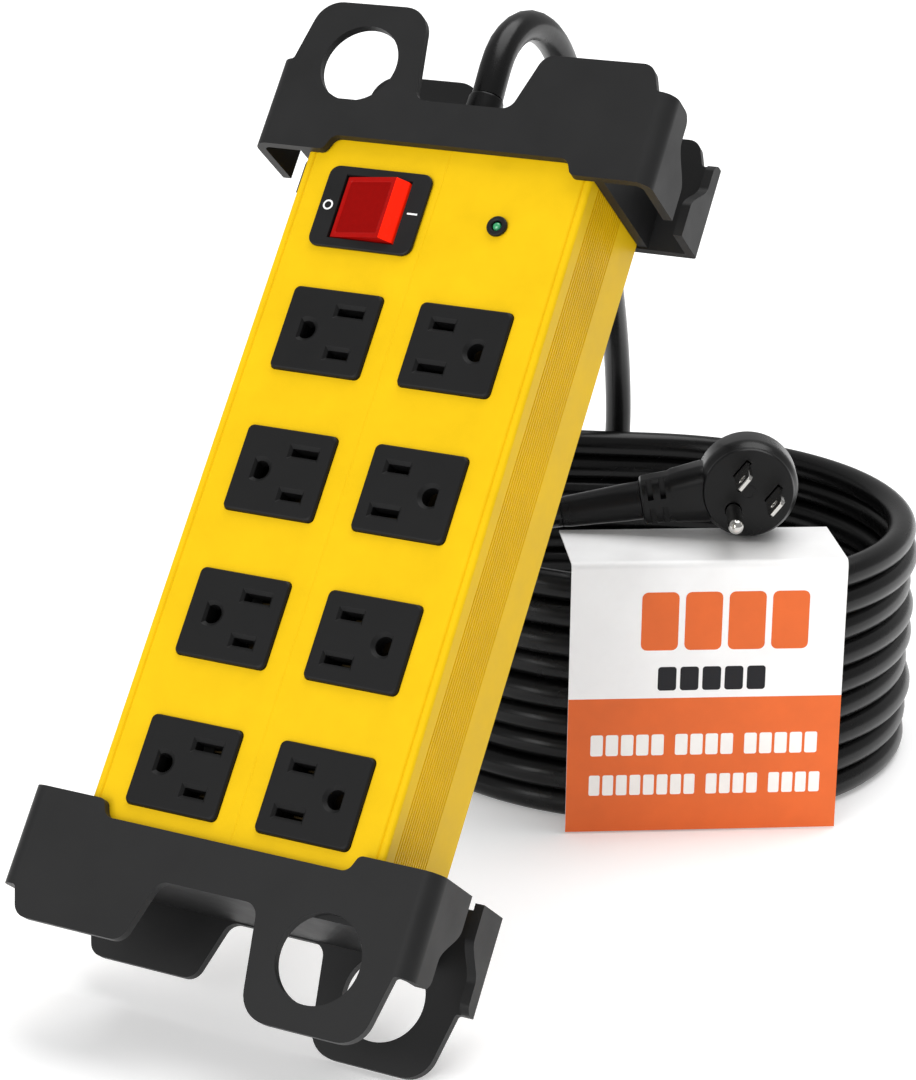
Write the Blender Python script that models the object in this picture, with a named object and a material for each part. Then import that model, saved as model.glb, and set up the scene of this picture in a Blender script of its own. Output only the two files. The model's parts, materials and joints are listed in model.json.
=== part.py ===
"""A metal-cased power strip with eight outlets, a rocker switch, an indicator light and a
bracket at each end. Its cord is coiled behind it, held by a card band, with the plug on top.

Metres, +Z up. The strip leans back on its lower bracket. Its pieces are modelled in the
strip's own frame: x across, y along it, z out of its front face, which is z = 0. An empty
puts that frame in place. The origin is the bottom centre of the strip's own box.
"""

from math import ceil, cos, pi, radians, sin, sqrt, tan, atan2

import bmesh
import bpy
from mathutils import Matrix, Vector

GAP = 0.0003                      # between pieces that touch
LEAN = radians(37)                # of the strip, back from upright

# Housing: an extrusion, open at the back and at both ends
BODY_HALF_WIDTH = 0.0443
BODY_DEPTH = 0.0402
BODY_HALF_LENGTH = 0.1115
WALL = 0.0018
RIB_COUNT = 15
RIB_TOP, RIB_BOTTOM = 0.0055, 0.0257
RIB_DEPTH = 0.00035
FRONT_GROOVE_X = 0.0420
BACK_PLATE = 0.0012
BOSS_X, BOSS_Z = 0.0390, -0.0200
BOSS_HALF, BOSS_BORE = 0.0034, 0.0021

# Brackets: e is the distance outward from the strip's middle
BRACKET_HALF_WIDTH = 0.0619
BRACKET_PLATE = 0.0027
BRACKET_FRONT = GAP + BRACKET_PLATE
BRACKET_BACK = -(BODY_DEPTH + GAP + BRACKET_PLATE)
TAB_E, RECESS_E = 0.0974, 0.1021
TAB_X, RECESS_X = 0.0386, 0.0366
NOTCH_E = 0.1154
FLANGE_END_E = 0.1250
RING_END_E, WING_END_E = 0.1444, 0.1330
RING_HOLE = (-0.0360, 0.1253)
RING_HOLE_RADIUS = 0.0120
END_WALL_E, END_WALL = 0.1120, 0.0030
FRONT_BEND, BACK_BEND = 0.0050, 0.0012

# Outlets
COLUMN_X = 0.0199
ROW_PITCH, ROWS = 0.0425, 4
COLUMN_Y = -0.02045
OUTLET_WIDTH, OUTLET_HEIGHT, OUTLET_RAISE = 0.0280, 0.0253, 0.0010
SHOULDER = 0.0013
SLOT_X, GROUND_X = 0.00545, -0.00645
SLOT_OFFSET = 0.00635             # half of the 12.7 mm between the two blades
SLOT_WIDTH, HOT_LENGTH, NEUTRAL_LENGTH = 0.0023, 0.0064, 0.0080
GROUND_RADIUS = 0.0027
TRAY_HALF_WIDTH, TRAY_HALF_LENGTH = 0.0135, 0.0770
TRAY_TOP, TRAY_BOTTOM = -0.0042, -0.0165
BAR_HALF_LENGTH, BAR_Z, BAR_THICK = 0.0785, -0.0149, 0.0008
CONTACT_TOP = -0.0070

# Switch, about its own centre
SWITCH = (-0.0186, 0.0812)
BEZEL_WIDTH, BEZEL_HEIGHT, BEZEL_TOP = 0.0326, 0.0251, 0.0013
OPENING_WIDTH, OPENING_HEIGHT = 0.0208, 0.0195
SWITCH_WIDTH, SWITCH_HEIGHT, SWITCH_BOTTOM = 0.0276, 0.0216, -0.0215
PIVOT_Z = -0.0015
ROCKER_TILT = radians(11.5)       # either way from level
ROCKER_REACH = 0.0101
ROCKER_TOP, ROCKER_LEFT, ROCKER_RIGHT = 0.00425, 0.0093, 0.0078
PIVOT_RADIUS = 0.00145
ARM_Z = -0.0148
ARM_TILT = radians(8)
TERMINAL_X = 0.0080
TERMINAL_BOTTOM = -0.0280

# Indicator and surge board
LED = (0.0209, 0.0808)
BOARD_LOW, BOARD_HIGH = (0.0030, 0.0600, -0.0286), (0.0370, 0.0980, -0.0270)

# Cord
CORD = 0.0090
WIRE = 0.0024
GLAND_X, GLAND_Z = -0.0054, -0.0200
GLAND_TIP_E = 0.1293
COIL = (0.0008, 0.1953)
COIL_RADIUS, COIL_TURNS = 0.0848, 9
COIL_HEIGHT = COIL_TURNS * CORD

# Card, which stands against the coil's near side and folds over it
CARD = 0.0008
CARD_TURN = radians(31.7)
CARD_FRONT, CARD_BACK, CARD_TOP = 0.0920, 0.0580, 0.0895
CARD_LEFT, CARD_RIGHT = -0.0382, 0.0478
FLAP_INSET, FLAP_FOOT = 0.0200, 0.0300

# Plug: it faces along its own z, with its lead leaving along -x
PLUG_FACE = (0.0555, 0.1433, 0.1057)
PLUG_TURN, PLUG_ROLL = radians(24.5), radians(10.5)
PLUG_RADIUS, PLUG_FACE_RADIUS, PLUG_DEPTH = 0.0158, 0.0140, 0.0190
BLADE_TURN = radians(-48)
BLADE_LENGTH, BLADE_THICK, BLADE_WIDTH = 0.0165, 0.0015, 0.0063
PIN_RADIUS, PIN_LENGTH, PIN_OFFSET = 0.0024, 0.0190, 0.0119
PLUG_POCKET = 0.0030
NECK_END, RELIEF_END = 0.0335, 0.0590

YELLOW = ("yellow_paint", (0.95, 0.62, 0.01), 0.38, 0.0)
BLACK = ("black_plastic", (0.030, 0.030, 0.032), 0.50, 0.0)
GRAPHITE = ("graphite_plastic", (0.045, 0.045, 0.048), 0.48, 0.0)
RUBBER = ("black_rubber", (0.022, 0.022, 0.024), 0.45, 0.0)
STEEL = ("zinc_steel", (0.62, 0.62, 0.60), 0.35, 1.0)
BRASS = ("brass", (0.72, 0.52, 0.22), 0.32, 1.0)
NICKEL = ("nickel", (0.70, 0.69, 0.66), 0.25, 1.0)
RED = ("red_plastic", (0.60, 0.010, 0.008), 0.25, 0.0)
GREEN = ("green_lens", (0.03, 0.35, 0.10), 0.15, 0.0)
CREAM = ("nylon", (0.75, 0.72, 0.64), 0.55, 0.0)
BOARD_GREEN = ("board", (0.03, 0.22, 0.08), 0.45, 0.0)
BLUE = ("varistor_blue", (0.03, 0.12, 0.42), 0.35, 0.0)
WIRE_COLOURS = {
    "line": ("wire_black", (0.02, 0.02, 0.02), 0.5, 0.0),
    "neutral": ("wire_white", (0.80, 0.80, 0.78), 0.5, 0.0),
    "ground": ("wire_green", (0.02, 0.30, 0.08), 0.5, 0.0),
}
WHITE_CARD = ("card", (0.90, 0.90, 0.91), 0.60, 0.0)


# ---------------------------------------------------------------- outlines and solids


def rounded(corners, steps=3):
    """A closed outline whose corners (u, v, radius) are rounded with arcs."""
    points = []
    for i, (u, v, radius) in enumerate(corners):
        here = Vector((u, v))
        if not radius:
            points.append(here)
            continue
        back = (Vector(corners[i - 1][:2]) - here).normalized()
        onward = (Vector(corners[(i + 1) % len(corners)][:2]) - here).normalized()
        half = back.angle(onward) / 2
        centre = here + (back + onward).normalized() * radius / sin(half)
        first = here + back * radius / tan(half) - centre
        last = here + onward * radius / tan(half) - centre
        start = atan2(first.y, first.x)
        sweep = (atan2(last.y, last.x) - start + pi) % (2 * pi) - pi
        for k in range(steps + 1):
            angle = start + sweep * k / steps
            points.append(centre + Vector((cos(angle), sin(angle))) * radius)
    return points


def rectangle(width, height, radius=0.0, steps=3, centre=(0, 0)):
    u, v = width / 2, height / 2
    corners = [(-u, -v), (u, -v), (u, v), (-u, v)]
    return rounded([(centre[0] + a, centre[1] + b, radius) for a, b in corners], steps)


def circle(radius, segments, centre=(0, 0)):
    angles = [2 * pi * k / segments for k in range(segments)]
    return [Vector((centre[0] + radius * cos(a), centre[1] + radius * sin(a))) for a in angles]


def loft(rings):
    """A closed skin over rings of points of equal count, capped at both ends."""
    shape = bmesh.new()
    loops = [[shape.verts.new(point) for point in ring] for ring in rings]
    shape.faces.new(loops[0])
    shape.faces.new(loops[-1])
    for one, two in zip(loops, loops[1:]):
        for i in range(len(one)):
            shape.faces.new((one[i - 1], one[i], two[i], two[i - 1]))
    bmesh.ops.recalc_face_normals(shape, faces=shape.faces)
    return shape


AXES = {
    "x": lambda u, v, w: (w, u, v),     # the outline lies in (y, z)
    "y": lambda u, v, w: (u, w, v),     # in (x, z)
    "z": lambda u, v, w: (u, v, w),     # in (x, y)
}


def prism(outline, low, high, axis="z"):
    """The outline, or one outline for each end, drawn out along an axis."""
    return stack([(outline, low), (outline, high)], axis)


def stack(levels, axis="z"):
    """A skin over (outline, height) levels along an axis."""
    onto = AXES[axis]
    return loft([[onto(u, v, w) for u, v in outline] for outline, w in levels])


def block(low, high):
    outline = [(low[0], low[1]), (high[0], low[1]), (high[0], high[1]), (low[0], high[1])]
    return prism(outline, low[2], high[2])


def turned(stations, segments, axis="z", centre=(0, 0)):
    """A turned solid through (radius, height) stations."""
    return stack([(circle(r, segments, centre), w) for r, w in stations], axis)


def ring(profile, segments):
    """A closed (radius, z) profile turned right round z."""
    shape = bmesh.new()
    loops = []
    for k in range(segments):
        a = 2 * pi * k / segments
        loops.append([shape.verts.new((r * cos(a), r * sin(a), z)) for r, z in profile])
    for k, loop in enumerate(loops):
        for i in range(len(loop)):
            shape.faces.new((loops[k - 1][i - 1], loops[k - 1][i], loop[i], loop[i - 1]))
    bmesh.ops.recalc_face_normals(shape, faces=shape.faces)
    return shape


def sleeve(outer, inner, low, high, axis="y"):
    """The space between two outlines of equal count, drawn out along an axis."""
    onto = AXES[axis]
    shape = bmesh.new()
    loops = []
    for outline, w in ((outer, low), (outer, high), (inner, high), (inner, low)):
        loops.append([shape.verts.new(onto(u, v, w)) for u, v in outline])
    for k, loop in enumerate(loops):
        for i in range(len(loop)):
            shape.faces.new((loops[k - 1][i - 1], loops[k - 1][i], loop[i], loop[i - 1]))
    bmesh.ops.recalc_face_normals(shape, faces=shape.faces)
    return shape


def moved(shape, offset):
    bmesh.ops.translate(shape, vec=Vector(offset), verts=shape.verts)
    return shape


def several(shapes):
    """Shapes that don't touch, as one."""
    whole = bmesh.new()
    for shape in shapes:
        part = mesh_of(shape)
        whole.from_mesh(part)
        bpy.data.meshes.remove(part)
    return whole


def mesh_of(shape):
    mesh = bpy.data.meshes.new("shape")
    shape.to_mesh(mesh)
    shape.free()
    return mesh


def carved(base, *steps):
    """The base with each (operation, shape) step applied by a Boolean, as one mesh."""
    body = bpy.data.objects.new("body", mesh_of(base))
    bpy.context.collection.objects.link(body)
    tools = []
    for operation, shape in steps:
        tool = bpy.data.objects.new("tool", mesh_of(shape))
        bpy.context.collection.objects.link(tool)
        tools.append(tool)
        modifier = body.modifiers.new(operation, "BOOLEAN")
        modifier.operation = operation
        modifier.solver = "EXACT"
        modifier.object = tool
    bpy.context.view_layer.update()
    graph = bpy.context.evaluated_depsgraph_get()
    mesh = bpy.data.meshes.new_from_object(body.evaluated_get(graph))
    for thing in [body, *tools]:
        old = thing.data
        bpy.data.objects.remove(thing)
        bpy.data.meshes.remove(old)
    return mesh


# ---------------------------------------------------------------- objects


def finish_of(finish):
    name, colour, roughness, metallic = finish
    if name in bpy.data.materials:
        return bpy.data.materials[name]
    material = bpy.data.materials.new(name)
    material.use_nodes = True
    shader = material.node_tree.nodes["Principled BSDF"]
    shader.inputs["Base Color"].default_value = (*colour, 1)
    shader.inputs["Roughness"].default_value = roughness
    shader.inputs["Metallic"].default_value = metallic
    material.diffuse_color = (*colour, 1)
    return material


def place(name, shape, finish, parent=None, at=(0, 0, 0), turn=(0, 0, 0)):
    """A named object from a bmesh or a mesh."""
    mesh = shape if isinstance(shape, bpy.types.Mesh) else mesh_of(shape)
    if not mesh.materials:
        mesh.materials.append(finish_of(finish))
    mesh.shade_smooth()
    mesh.set_sharp_from_angle(angle=radians(35))
    thing = bpy.data.objects.new(name, mesh)
    bpy.context.collection.objects.link(thing)
    thing.parent = parent
    thing.location = at
    thing.rotation_euler = turn
    return thing


def frame_at(name, at, turn, parent=None):
    empty = bpy.data.objects.new(name, None)
    bpy.context.collection.objects.link(empty)
    empty.parent = parent
    empty.location = at
    empty.rotation_euler = turn
    return empty


def smooth_path(points, spacing):
    """Evenly spaced points on a smooth curve through the given ones."""
    points = [Vector(p) for p in points]
    ends = [2 * points[0] - points[1], *points, 2 * points[-1] - points[-2]]
    dense = []
    for p0, p1, p2, p3 in zip(ends, ends[1:], ends[2:], ends[3:]):
        for k in range(24):
            t = k / 24
            dense.append(
                0.5 * (2 * p1 + (p2 - p0) * t + (2 * p0 - 5 * p1 + 4 * p2 - p3) * t * t
                       + (3 * p1 - p0 - 3 * p2 + p3) * t ** 3)
            )
    dense.append(points[-1])
    travelled = [0.0]
    for a, b in zip(dense, dense[1:]):
        travelled.append(travelled[-1] + (b - a).length)
    count = ceil(travelled[-1] / spacing)
    path = []
    k = 0
    for i in range(count + 1):
        goal = travelled[-1] * i / count
        while k < len(dense) - 2 and travelled[k + 1] < goal:
            k += 1
        share = (goal - travelled[k]) / (travelled[k + 1] - travelled[k])
        path.append(dense[k].lerp(dense[k + 1], share))
    return path


def straight_ended(route, out, back, run=0.0012):
    """The route with a short straight run out of its first point and one into its last."""
    first, last = Vector(route[0]), Vector(route[-1])
    out, back = Vector(out) * run, Vector(back) * run
    return [first, first + out, *route[1:-1], last + back, last]


def tube(name, points, diameter, finish, parent=None, spacing=None, sides=2):
    """A round tube along a smooth curve through the points, its first and last runs straight."""
    curve = bpy.data.curves.new(name, "CURVE")
    curve.dimensions = "3D"
    curve.bevel_depth = diameter / 2
    curve.bevel_resolution = sides
    curve.use_fill_caps = True
    path = [points[0], *smooth_path(points[1:-1], spacing or 2.2 * diameter), points[-1]]
    spline = curve.splines.new("POLY")
    spline.points.add(len(path) - 1)
    for point, where in zip(spline.points, path):
        point.co = (*where, 1)
    curve.materials.append(finish_of(finish))
    thing = bpy.data.objects.new(name, curve)
    bpy.context.collection.objects.link(thing)
    thing.parent = parent
    return thing


# ---------------------------------------------------------------- housing


def housing_section():
    """The extrusion's section as (x, z): right half from the front, then its mirror image."""
    x, inside = BODY_HALF_WIDTH, BODY_HALF_WIDTH - WALL
    half = [
        (FRONT_GROOVE_X - 0.0004, 0.0),
        (FRONT_GROOVE_X, -0.0003),
        (FRONT_GROOVE_X + 0.0004, 0.0),
        (x - 0.0008, 0.0),
        (x - 0.0002, -0.0002),
        (x, -0.0008),
    ]
    pitch = (RIB_BOTTOM - RIB_TOP) / RIB_COUNT
    for rib in range(RIB_COUNT):
        top = -RIB_TOP - rib * pitch
        half += [(x, top), (x - RIB_DEPTH, top - pitch / 2)]
    half += [(x, -RIB_BOTTOM), (x, -BODY_DEPTH), (inside, -BODY_DEPTH)]
    ledge = -BODY_DEPTH + BACK_PLATE + GAP
    half += [(inside, ledge), (inside - WALL, ledge), (inside - WALL, ledge + 0.0013)]
    half.append((inside, ledge + 0.0013))
    half += screw_boss(inside)
    half.append((inside, -WALL))
    return half + [(-a, b) for a, b in reversed(half)]


def screw_boss(wall_x):
    """The channel that the end screws cut into, open towards the middle."""
    lip_x = BOSS_X - BOSS_HALF
    mouth = 0.0012
    opening = atan2(mouth, -sqrt(BOSS_BORE ** 2 - mouth ** 2))
    low, high = BOSS_Z - BOSS_HALF, BOSS_Z + BOSS_HALF
    points = [(wall_x, low), (lip_x, low), (lip_x, BOSS_Z - mouth)]
    for k in range(9):
        angle = -opening + 2 * opening * k / 8
        points.append((BOSS_X + BOSS_BORE * cos(angle), BOSS_Z + BOSS_BORE * sin(angle)))
    return [*points, (lip_x, BOSS_Z + mouth), (lip_x, high), (wall_x, high)]


def row_y(row):
    return COLUMN_Y + ROW_PITCH * ((ROWS - 1) / 2 - row)


def make_housing(strip):
    windows = []
    for side in (-1, 1):
        for row in range(ROWS):
            centre = (side * COLUMN_X, row_y(row))
            size = (OUTLET_WIDTH + 2 * GAP, OUTLET_HEIGHT + 2 * GAP)
            windows.append(prism(rectangle(*size, 0.0015, 2, centre), -0.003, 0.001))
    size = (SWITCH_WIDTH + 2 * GAP, SWITCH_HEIGHT + 2 * GAP)
    windows.append(prism(rectangle(*size, centre=SWITCH), -0.003, 0.001))
    windows.append(prism(circle(0.0026, 20, LED), -0.003, 0.001))
    body = prism(housing_section(), -BODY_HALF_LENGTH, BODY_HALF_LENGTH, "y")
    place("housing", carved(body, ("DIFFERENCE", several(windows))), YELLOW, strip)

    half = BODY_HALF_WIDTH - WALL - GAP
    low = (-half, -BODY_HALF_LENGTH, -BODY_DEPTH)
    high = (half, BODY_HALF_LENGTH, -BODY_DEPTH + BACK_PLATE)
    place("back_plate", block(low, high), STEEL, strip)


# ---------------------------------------------------------------- brackets


def bracket_outline():
    """The front and back plates' outline as (x, e), its ring at -x and its wing at +x."""
    w = BRACKET_HALF_WIDTH + 0.002
    return rounded([
        (w, TAB_E, 0), (w, FLANGE_END_E, 0), (0.0566, FLANGE_END_E, 0.001),
        (0.0535, WING_END_E, 0.0045), (0.0205, WING_END_E, 0.0045), (0.0150, NOTCH_E, 0.0040),
        (-0.0148, NOTCH_E, 0.0040), (-0.0196, RING_END_E, 0.0085),
        (-0.0536, RING_END_E, 0.0080), (-0.0575, FLANGE_END_E, 0.001),
        (-w, FLANGE_END_E, 0), (-w, TAB_E, 0), (-TAB_X, TAB_E, 0.002),
        (-RECESS_X, RECESS_E, 0.003), (RECESS_X, RECESS_E, 0.003), (TAB_X, TAB_E, 0.002),
    ], 4)


def flange_slit():
    """The gap between the front and back flanges as (e, z), widening in an S outwards."""
    front_low, front_high = -0.0194, -0.0105
    back_high, back_low = -0.0285, -0.0370
    start, s_start, s_end, end = TAB_E - 0.001, 0.1065, 0.1170, FLANGE_END_E + 0.001

    def curve(z_from, z_to):
        for k in range(7):
            t = k / 6
            yield (s_start + (s_end - s_start) * t, z_from + (z_to - z_from) * t * t * (3 - 2 * t))

    def corner(z, towards):
        radius = 0.0035
        for k in range(1, 5):
            angle = pi / 2 * k / 4
            yield (FLANGE_END_E - radius + radius * sin(angle),
                   z + towards * radius * (1 - cos(angle)))

    front = [(start, front_low), *curve(front_low, front_high), *corner(front_high, 1)]
    back = [(start, back_high), *curve(back_high, back_low), *corner(back_low, -1)]
    return [*front, (end, front[-1][1]), (end, back[-1][1]), *reversed(back)]


def bracket_section(inset):
    """The bracket's boxed section as (x, z), its front bends wide and its back ones tight."""
    x, front, back = BRACKET_HALF_WIDTH - inset, BRACKET_FRONT - inset, BRACKET_BACK + inset
    wide, tight = FRONT_BEND - inset, max(BACK_BEND - inset, 0.0004)
    return rounded([(-x, back, tight), (x, back, tight), (x, front, wide), (-x, front, wide)], 4)


def bracket_mesh(holes):
    """A bracket from a boxed section, trimmed to its outline, with the socket for the housing."""
    shell = sleeve(bracket_section(0), bracket_section(BRACKET_PLATE), TAB_E - 0.002,
                   RING_END_E + 0.002)
    eye = circle(RING_HOLE_RADIUS, 36, RING_HOLE)
    ring_holes = [
        prism(eye, GAP, BRACKET_FRONT + 0.001),
        prism(eye, BRACKET_BACK - 0.001, -BODY_DEPTH - GAP),
    ]
    slit = prism(flange_slit(), -0.1, 0.1, "x")
    inside, outside = BODY_HALF_WIDTH + GAP, BODY_HALF_WIDTH + 0.0032
    start, end = TAB_E + 0.0005, END_WALL_E + END_WALL
    socket = [(-outside, start), (-inside, start), (-inside, END_WALL_E), (inside, END_WALL_E),
              (inside, start), (outside, start), (outside, end), (-outside, end)]
    into = BRACKET_PLATE / 2
    low, high = BRACKET_BACK + into, BRACKET_FRONT - into
    return carved(
        shell,
        ("INTERSECT", prism(bracket_outline(), BRACKET_BACK - 0.01, 0.01)),
        ("DIFFERENCE", slit),
        ("UNION", prism(socket, low, high)),
        ("DIFFERENCE", several([*ring_holes, *holes])),
    )


def screw_holes():
    centres = [(side * BOSS_X, BOSS_Z) for side in (-1, 1)]
    return [prism(circle(BOSS_BORE, 16, centre), 0.105, 0.12, "y") for centre in centres]


def make_brackets(strip):
    cord_hole = prism(circle(0.0070, 24, (GLAND_X, GLAND_Z)), 0.105, 0.12, "y")
    place("bracket_top", bracket_mesh([*screw_holes(), cord_hole]), GRAPHITE, strip)
    place("bracket_bottom", bracket_mesh(screw_holes()), GRAPHITE, strip, turn=(0, 0, pi))

    head_e = END_WALL_E + END_WALL + GAP
    shank = BOSS_BORE - GAP
    screw = mesh_of(turned([
        (shank * 0.6, head_e - 0.0150), (shank, head_e - 0.0135), (shank, head_e),
        (0.0035, head_e), (0.0035, head_e + 0.0012), (0.0022, head_e + 0.0021),
    ], 16, "y"))
    for end, turn in (("top", 0), ("bottom", pi)):
        for side, x in (("left", -BOSS_X), ("right", BOSS_X)):
            place(f"end_screw_{end}_{side}", screw, STEEL, strip, (x, 0, BOSS_Z), (0, 0, turn))


# ---------------------------------------------------------------- outlets and contacts


def ground_outline(radius, centre):
    """A D with its flat side towards -x."""
    angles = [radians(-125 + 25 * k) for k in range(11)]
    return [(centre[0] + radius * cos(a), centre[1] + radius * sin(a)) for a in angles]


def outlet_mesh():
    low = -WALL - GAP
    edge = 0.0003
    face = rectangle(OUTLET_WIDTH - 2 * edge, OUTLET_HEIGHT - 2 * edge, 0.0012)
    side = rectangle(OUTLET_WIDTH, OUTLET_HEIGHT, 0.0015)
    rim = rectangle(OUTLET_WIDTH + 2 * SHOULDER, OUTLET_HEIGHT + 2 * SHOULDER, 0.0015)
    body = stack([
        (face, OUTLET_RAISE), (side, OUTLET_RAISE - edge), (side, low), (rim, low),
        (rim, low - 0.0017),
    ])
    through = (low - 0.003, OUTLET_RAISE + 0.001)
    holes = [
        prism(rectangle(NEUTRAL_LENGTH, SLOT_WIDTH, centre=(SLOT_X, SLOT_OFFSET)), *through),
        prism(rectangle(HOT_LENGTH, SLOT_WIDTH, centre=(SLOT_X, -SLOT_OFFSET)), *through),
        prism(ground_outline(GROUND_RADIUS, (GROUND_X, 0)), *through),
    ]
    return carved(body, ("DIFFERENCE", several(holes)))


def bar_mesh(bar_x, contact_offset):
    """A bus bar with a tab at each row that carries two upright leaves for a blade."""
    half_bar, half_tab = 0.00115, 0.0018
    reach = SLOT_X + 0.0029 if bar_x < SLOT_X else SLOT_X - 0.0029
    near = bar_x + half_bar if bar_x < SLOT_X else bar_x - half_bar
    far = bar_x - half_bar if bar_x < SLOT_X else bar_x + half_bar
    centres = [ROW_PITCH * (k - (ROWS - 1) / 2) + contact_offset for k in range(ROWS)]
    outline = [(far, -BAR_HALF_LENGTH), (near, -BAR_HALF_LENGTH)]
    leaves = []
    for y in centres:
        outline += [(near, y - half_tab), (reach, y - half_tab)]
        outline += [(reach, y + half_tab), (near, y + half_tab)]
        for side in (-1, 1):
            inner, outer = sorted((y + side * 0.0008, y + side * 0.0013))
            low = (SLOT_X - 0.0024, inner, BAR_Z + BAR_THICK / 2)
            leaves.append(block(low, (SLOT_X + 0.0024, outer, CONTACT_TOP)))
    outline += [(near, BAR_HALF_LENGTH), (far, BAR_HALF_LENGTH)]
    return carved(prism(outline, BAR_Z, BAR_Z + BAR_THICK), ("UNION", several(leaves)))


def ground_bar_mesh():
    half_bar = 0.00115
    low = (GROUND_X - half_bar, -BAR_HALF_LENGTH, BAR_Z)
    high = (GROUND_X + half_bar, BAR_HALF_LENGTH, BAR_Z + BAR_THICK)
    foot = BAR_Z + BAR_THICK / 2
    profile = [(0.0026, foot), (0.0031, foot), (0.0031, CONTACT_TOP), (0.0026, CONTACT_TOP)]
    sockets = []
    for k in range(ROWS):
        y = ROW_PITCH * (k - (ROWS - 1) / 2)
        sockets.append(moved(ring(profile, 12), (GROUND_X, y, 0)))
    return carved(block(low, high), ("UNION", several(sockets)))


def make_outlets(strip):
    outlet = outlet_mesh()
    line = bar_mesh(SLOT_X + 0.0053, -SLOT_OFFSET)
    neutral = bar_mesh(SLOT_X - 0.0055, SLOT_OFFSET)
    ground = ground_bar_mesh()
    wall = 0.0013
    tray = mesh_of(prism([
        (-TRAY_HALF_WIDTH, TRAY_BOTTOM), (TRAY_HALF_WIDTH, TRAY_BOTTOM),
        (TRAY_HALF_WIDTH, TRAY_TOP), (TRAY_HALF_WIDTH - wall, TRAY_TOP),
        (TRAY_HALF_WIDTH - wall, TRAY_BOTTOM + wall), (wall - TRAY_HALF_WIDTH, TRAY_BOTTOM + wall),
        (wall - TRAY_HALF_WIDTH, TRAY_TOP), (-TRAY_HALF_WIDTH, TRAY_TOP),
    ], -TRAY_HALF_LENGTH, TRAY_HALF_LENGTH, "y"))
    number = 0
    for side, x, turn in (("left", -COLUMN_X, 0), ("right", COLUMN_X, pi)):
        for row in range(ROWS):
            number += 1
            place(f"outlet_{number}", outlet, BLACK, strip, (x, row_y(row), 0), (0, 0, turn))
        where = (x, COLUMN_Y, 0)
        place(f"contact_tray_{side}", tray, CREAM, strip, where, (0, 0, turn))
        for bar, mesh in (("line", line), ("neutral", neutral), ("ground", ground)):
            place(f"bus_bar_{bar}_{side}", mesh, BRASS, strip, where, (0, 0, turn))


# ---------------------------------------------------------------- switch


def rocker_mesh():
    """The rocker level, about its pivot, with its pins and its hollow stem."""
    start, end = atan2(0.0012, ROCKER_REACH), radians(-27)
    skirt = [start + (end - start) * k / 5 for k in range(6)]
    side = [(ROCKER_REACH * cos(a), ROCKER_REACH * sin(a)) for a in skirt]
    side += [(0.0026, side[-1][1]), (0.0026, -0.0095)]
    face = [(-ROCKER_LEFT, ROCKER_TOP), (ROCKER_RIGHT, ROCKER_TOP)]
    outline = [*side, *[(-x, z) for x, z in reversed(side)], *face]
    half = (OPENING_HEIGHT - 2 * GAP) / 2
    pins = prism(circle(PIVOT_RADIUS, 16), -half - 0.0008, half + 0.0008, "y")
    bore = turned([(0.0017, -0.0105), (0.0017, -0.0040)], 14)
    slim = [
        block((-0.004, 0.004, -0.011), (0.004, 0.011, side[-2][1] - 0.0001)),
        block((-0.004, -0.011, -0.011), (0.004, -0.004, side[-2][1] - 0.0001)),
    ]
    return carved(
        prism(outline, -half, half, "y"),
        ("UNION", pins),
        ("DIFFERENCE", several([bore, *slim])),
    )


def switch_body_mesh():
    bezel = rectangle(BEZEL_WIDTH, BEZEL_HEIGHT, 0.0030, 4)
    bezel_top = rectangle(BEZEL_WIDTH - 0.0006, BEZEL_HEIGHT - 0.0006, 0.0027, 4)
    box = rectangle(SWITCH_WIDTH, SWITCH_HEIGHT, 0.0005, 4)
    body = stack([
        (bezel_top, BEZEL_TOP), (bezel, BEZEL_TOP - 0.0003), (bezel, GAP), (box, GAP),
        (box, SWITCH_BOTTOM),
    ])
    opening = prism(rectangle(OPENING_WIDTH, OPENING_HEIGHT), -0.004, BEZEL_TOP + 0.001)
    half_x, half_y = SWITCH_WIDTH / 2 - 0.0015, OPENING_HEIGHT / 2 + 0.0001
    cavity = block((-half_x, -half_y, SWITCH_BOTTOM + 0.002), (half_x, half_y, -0.0010))
    pivots = prism(circle(PIVOT_RADIUS + 0.0002, 16, (0, PIVOT_Z)), -0.02, 0.02, "y")
    slots = []
    for x in (-TERMINAL_X, 0, TERMINAL_X):
        low = (x - 0.0007, -0.0026, SWITCH_BOTTOM - 0.001)
        slots.append(block(low, (x + 0.0007, 0.0026, SWITCH_BOTTOM + 0.003)))
    return carved(
        body,
        ("DIFFERENCE", cavity),
        ("DIFFERENCE", opening),
        ("DIFFERENCE", several([pivots, *slots])),
    )


def spring_points():
    turns, steps, radius = 4, 8, 0.00115
    top, bottom = -0.0043, -0.0096
    count = turns * steps
    for k in range(count + 1):
        angle = 2 * pi * k / steps
        yield (radius * cos(angle), radius * sin(angle), top + (bottom - top) * k / count)


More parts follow.
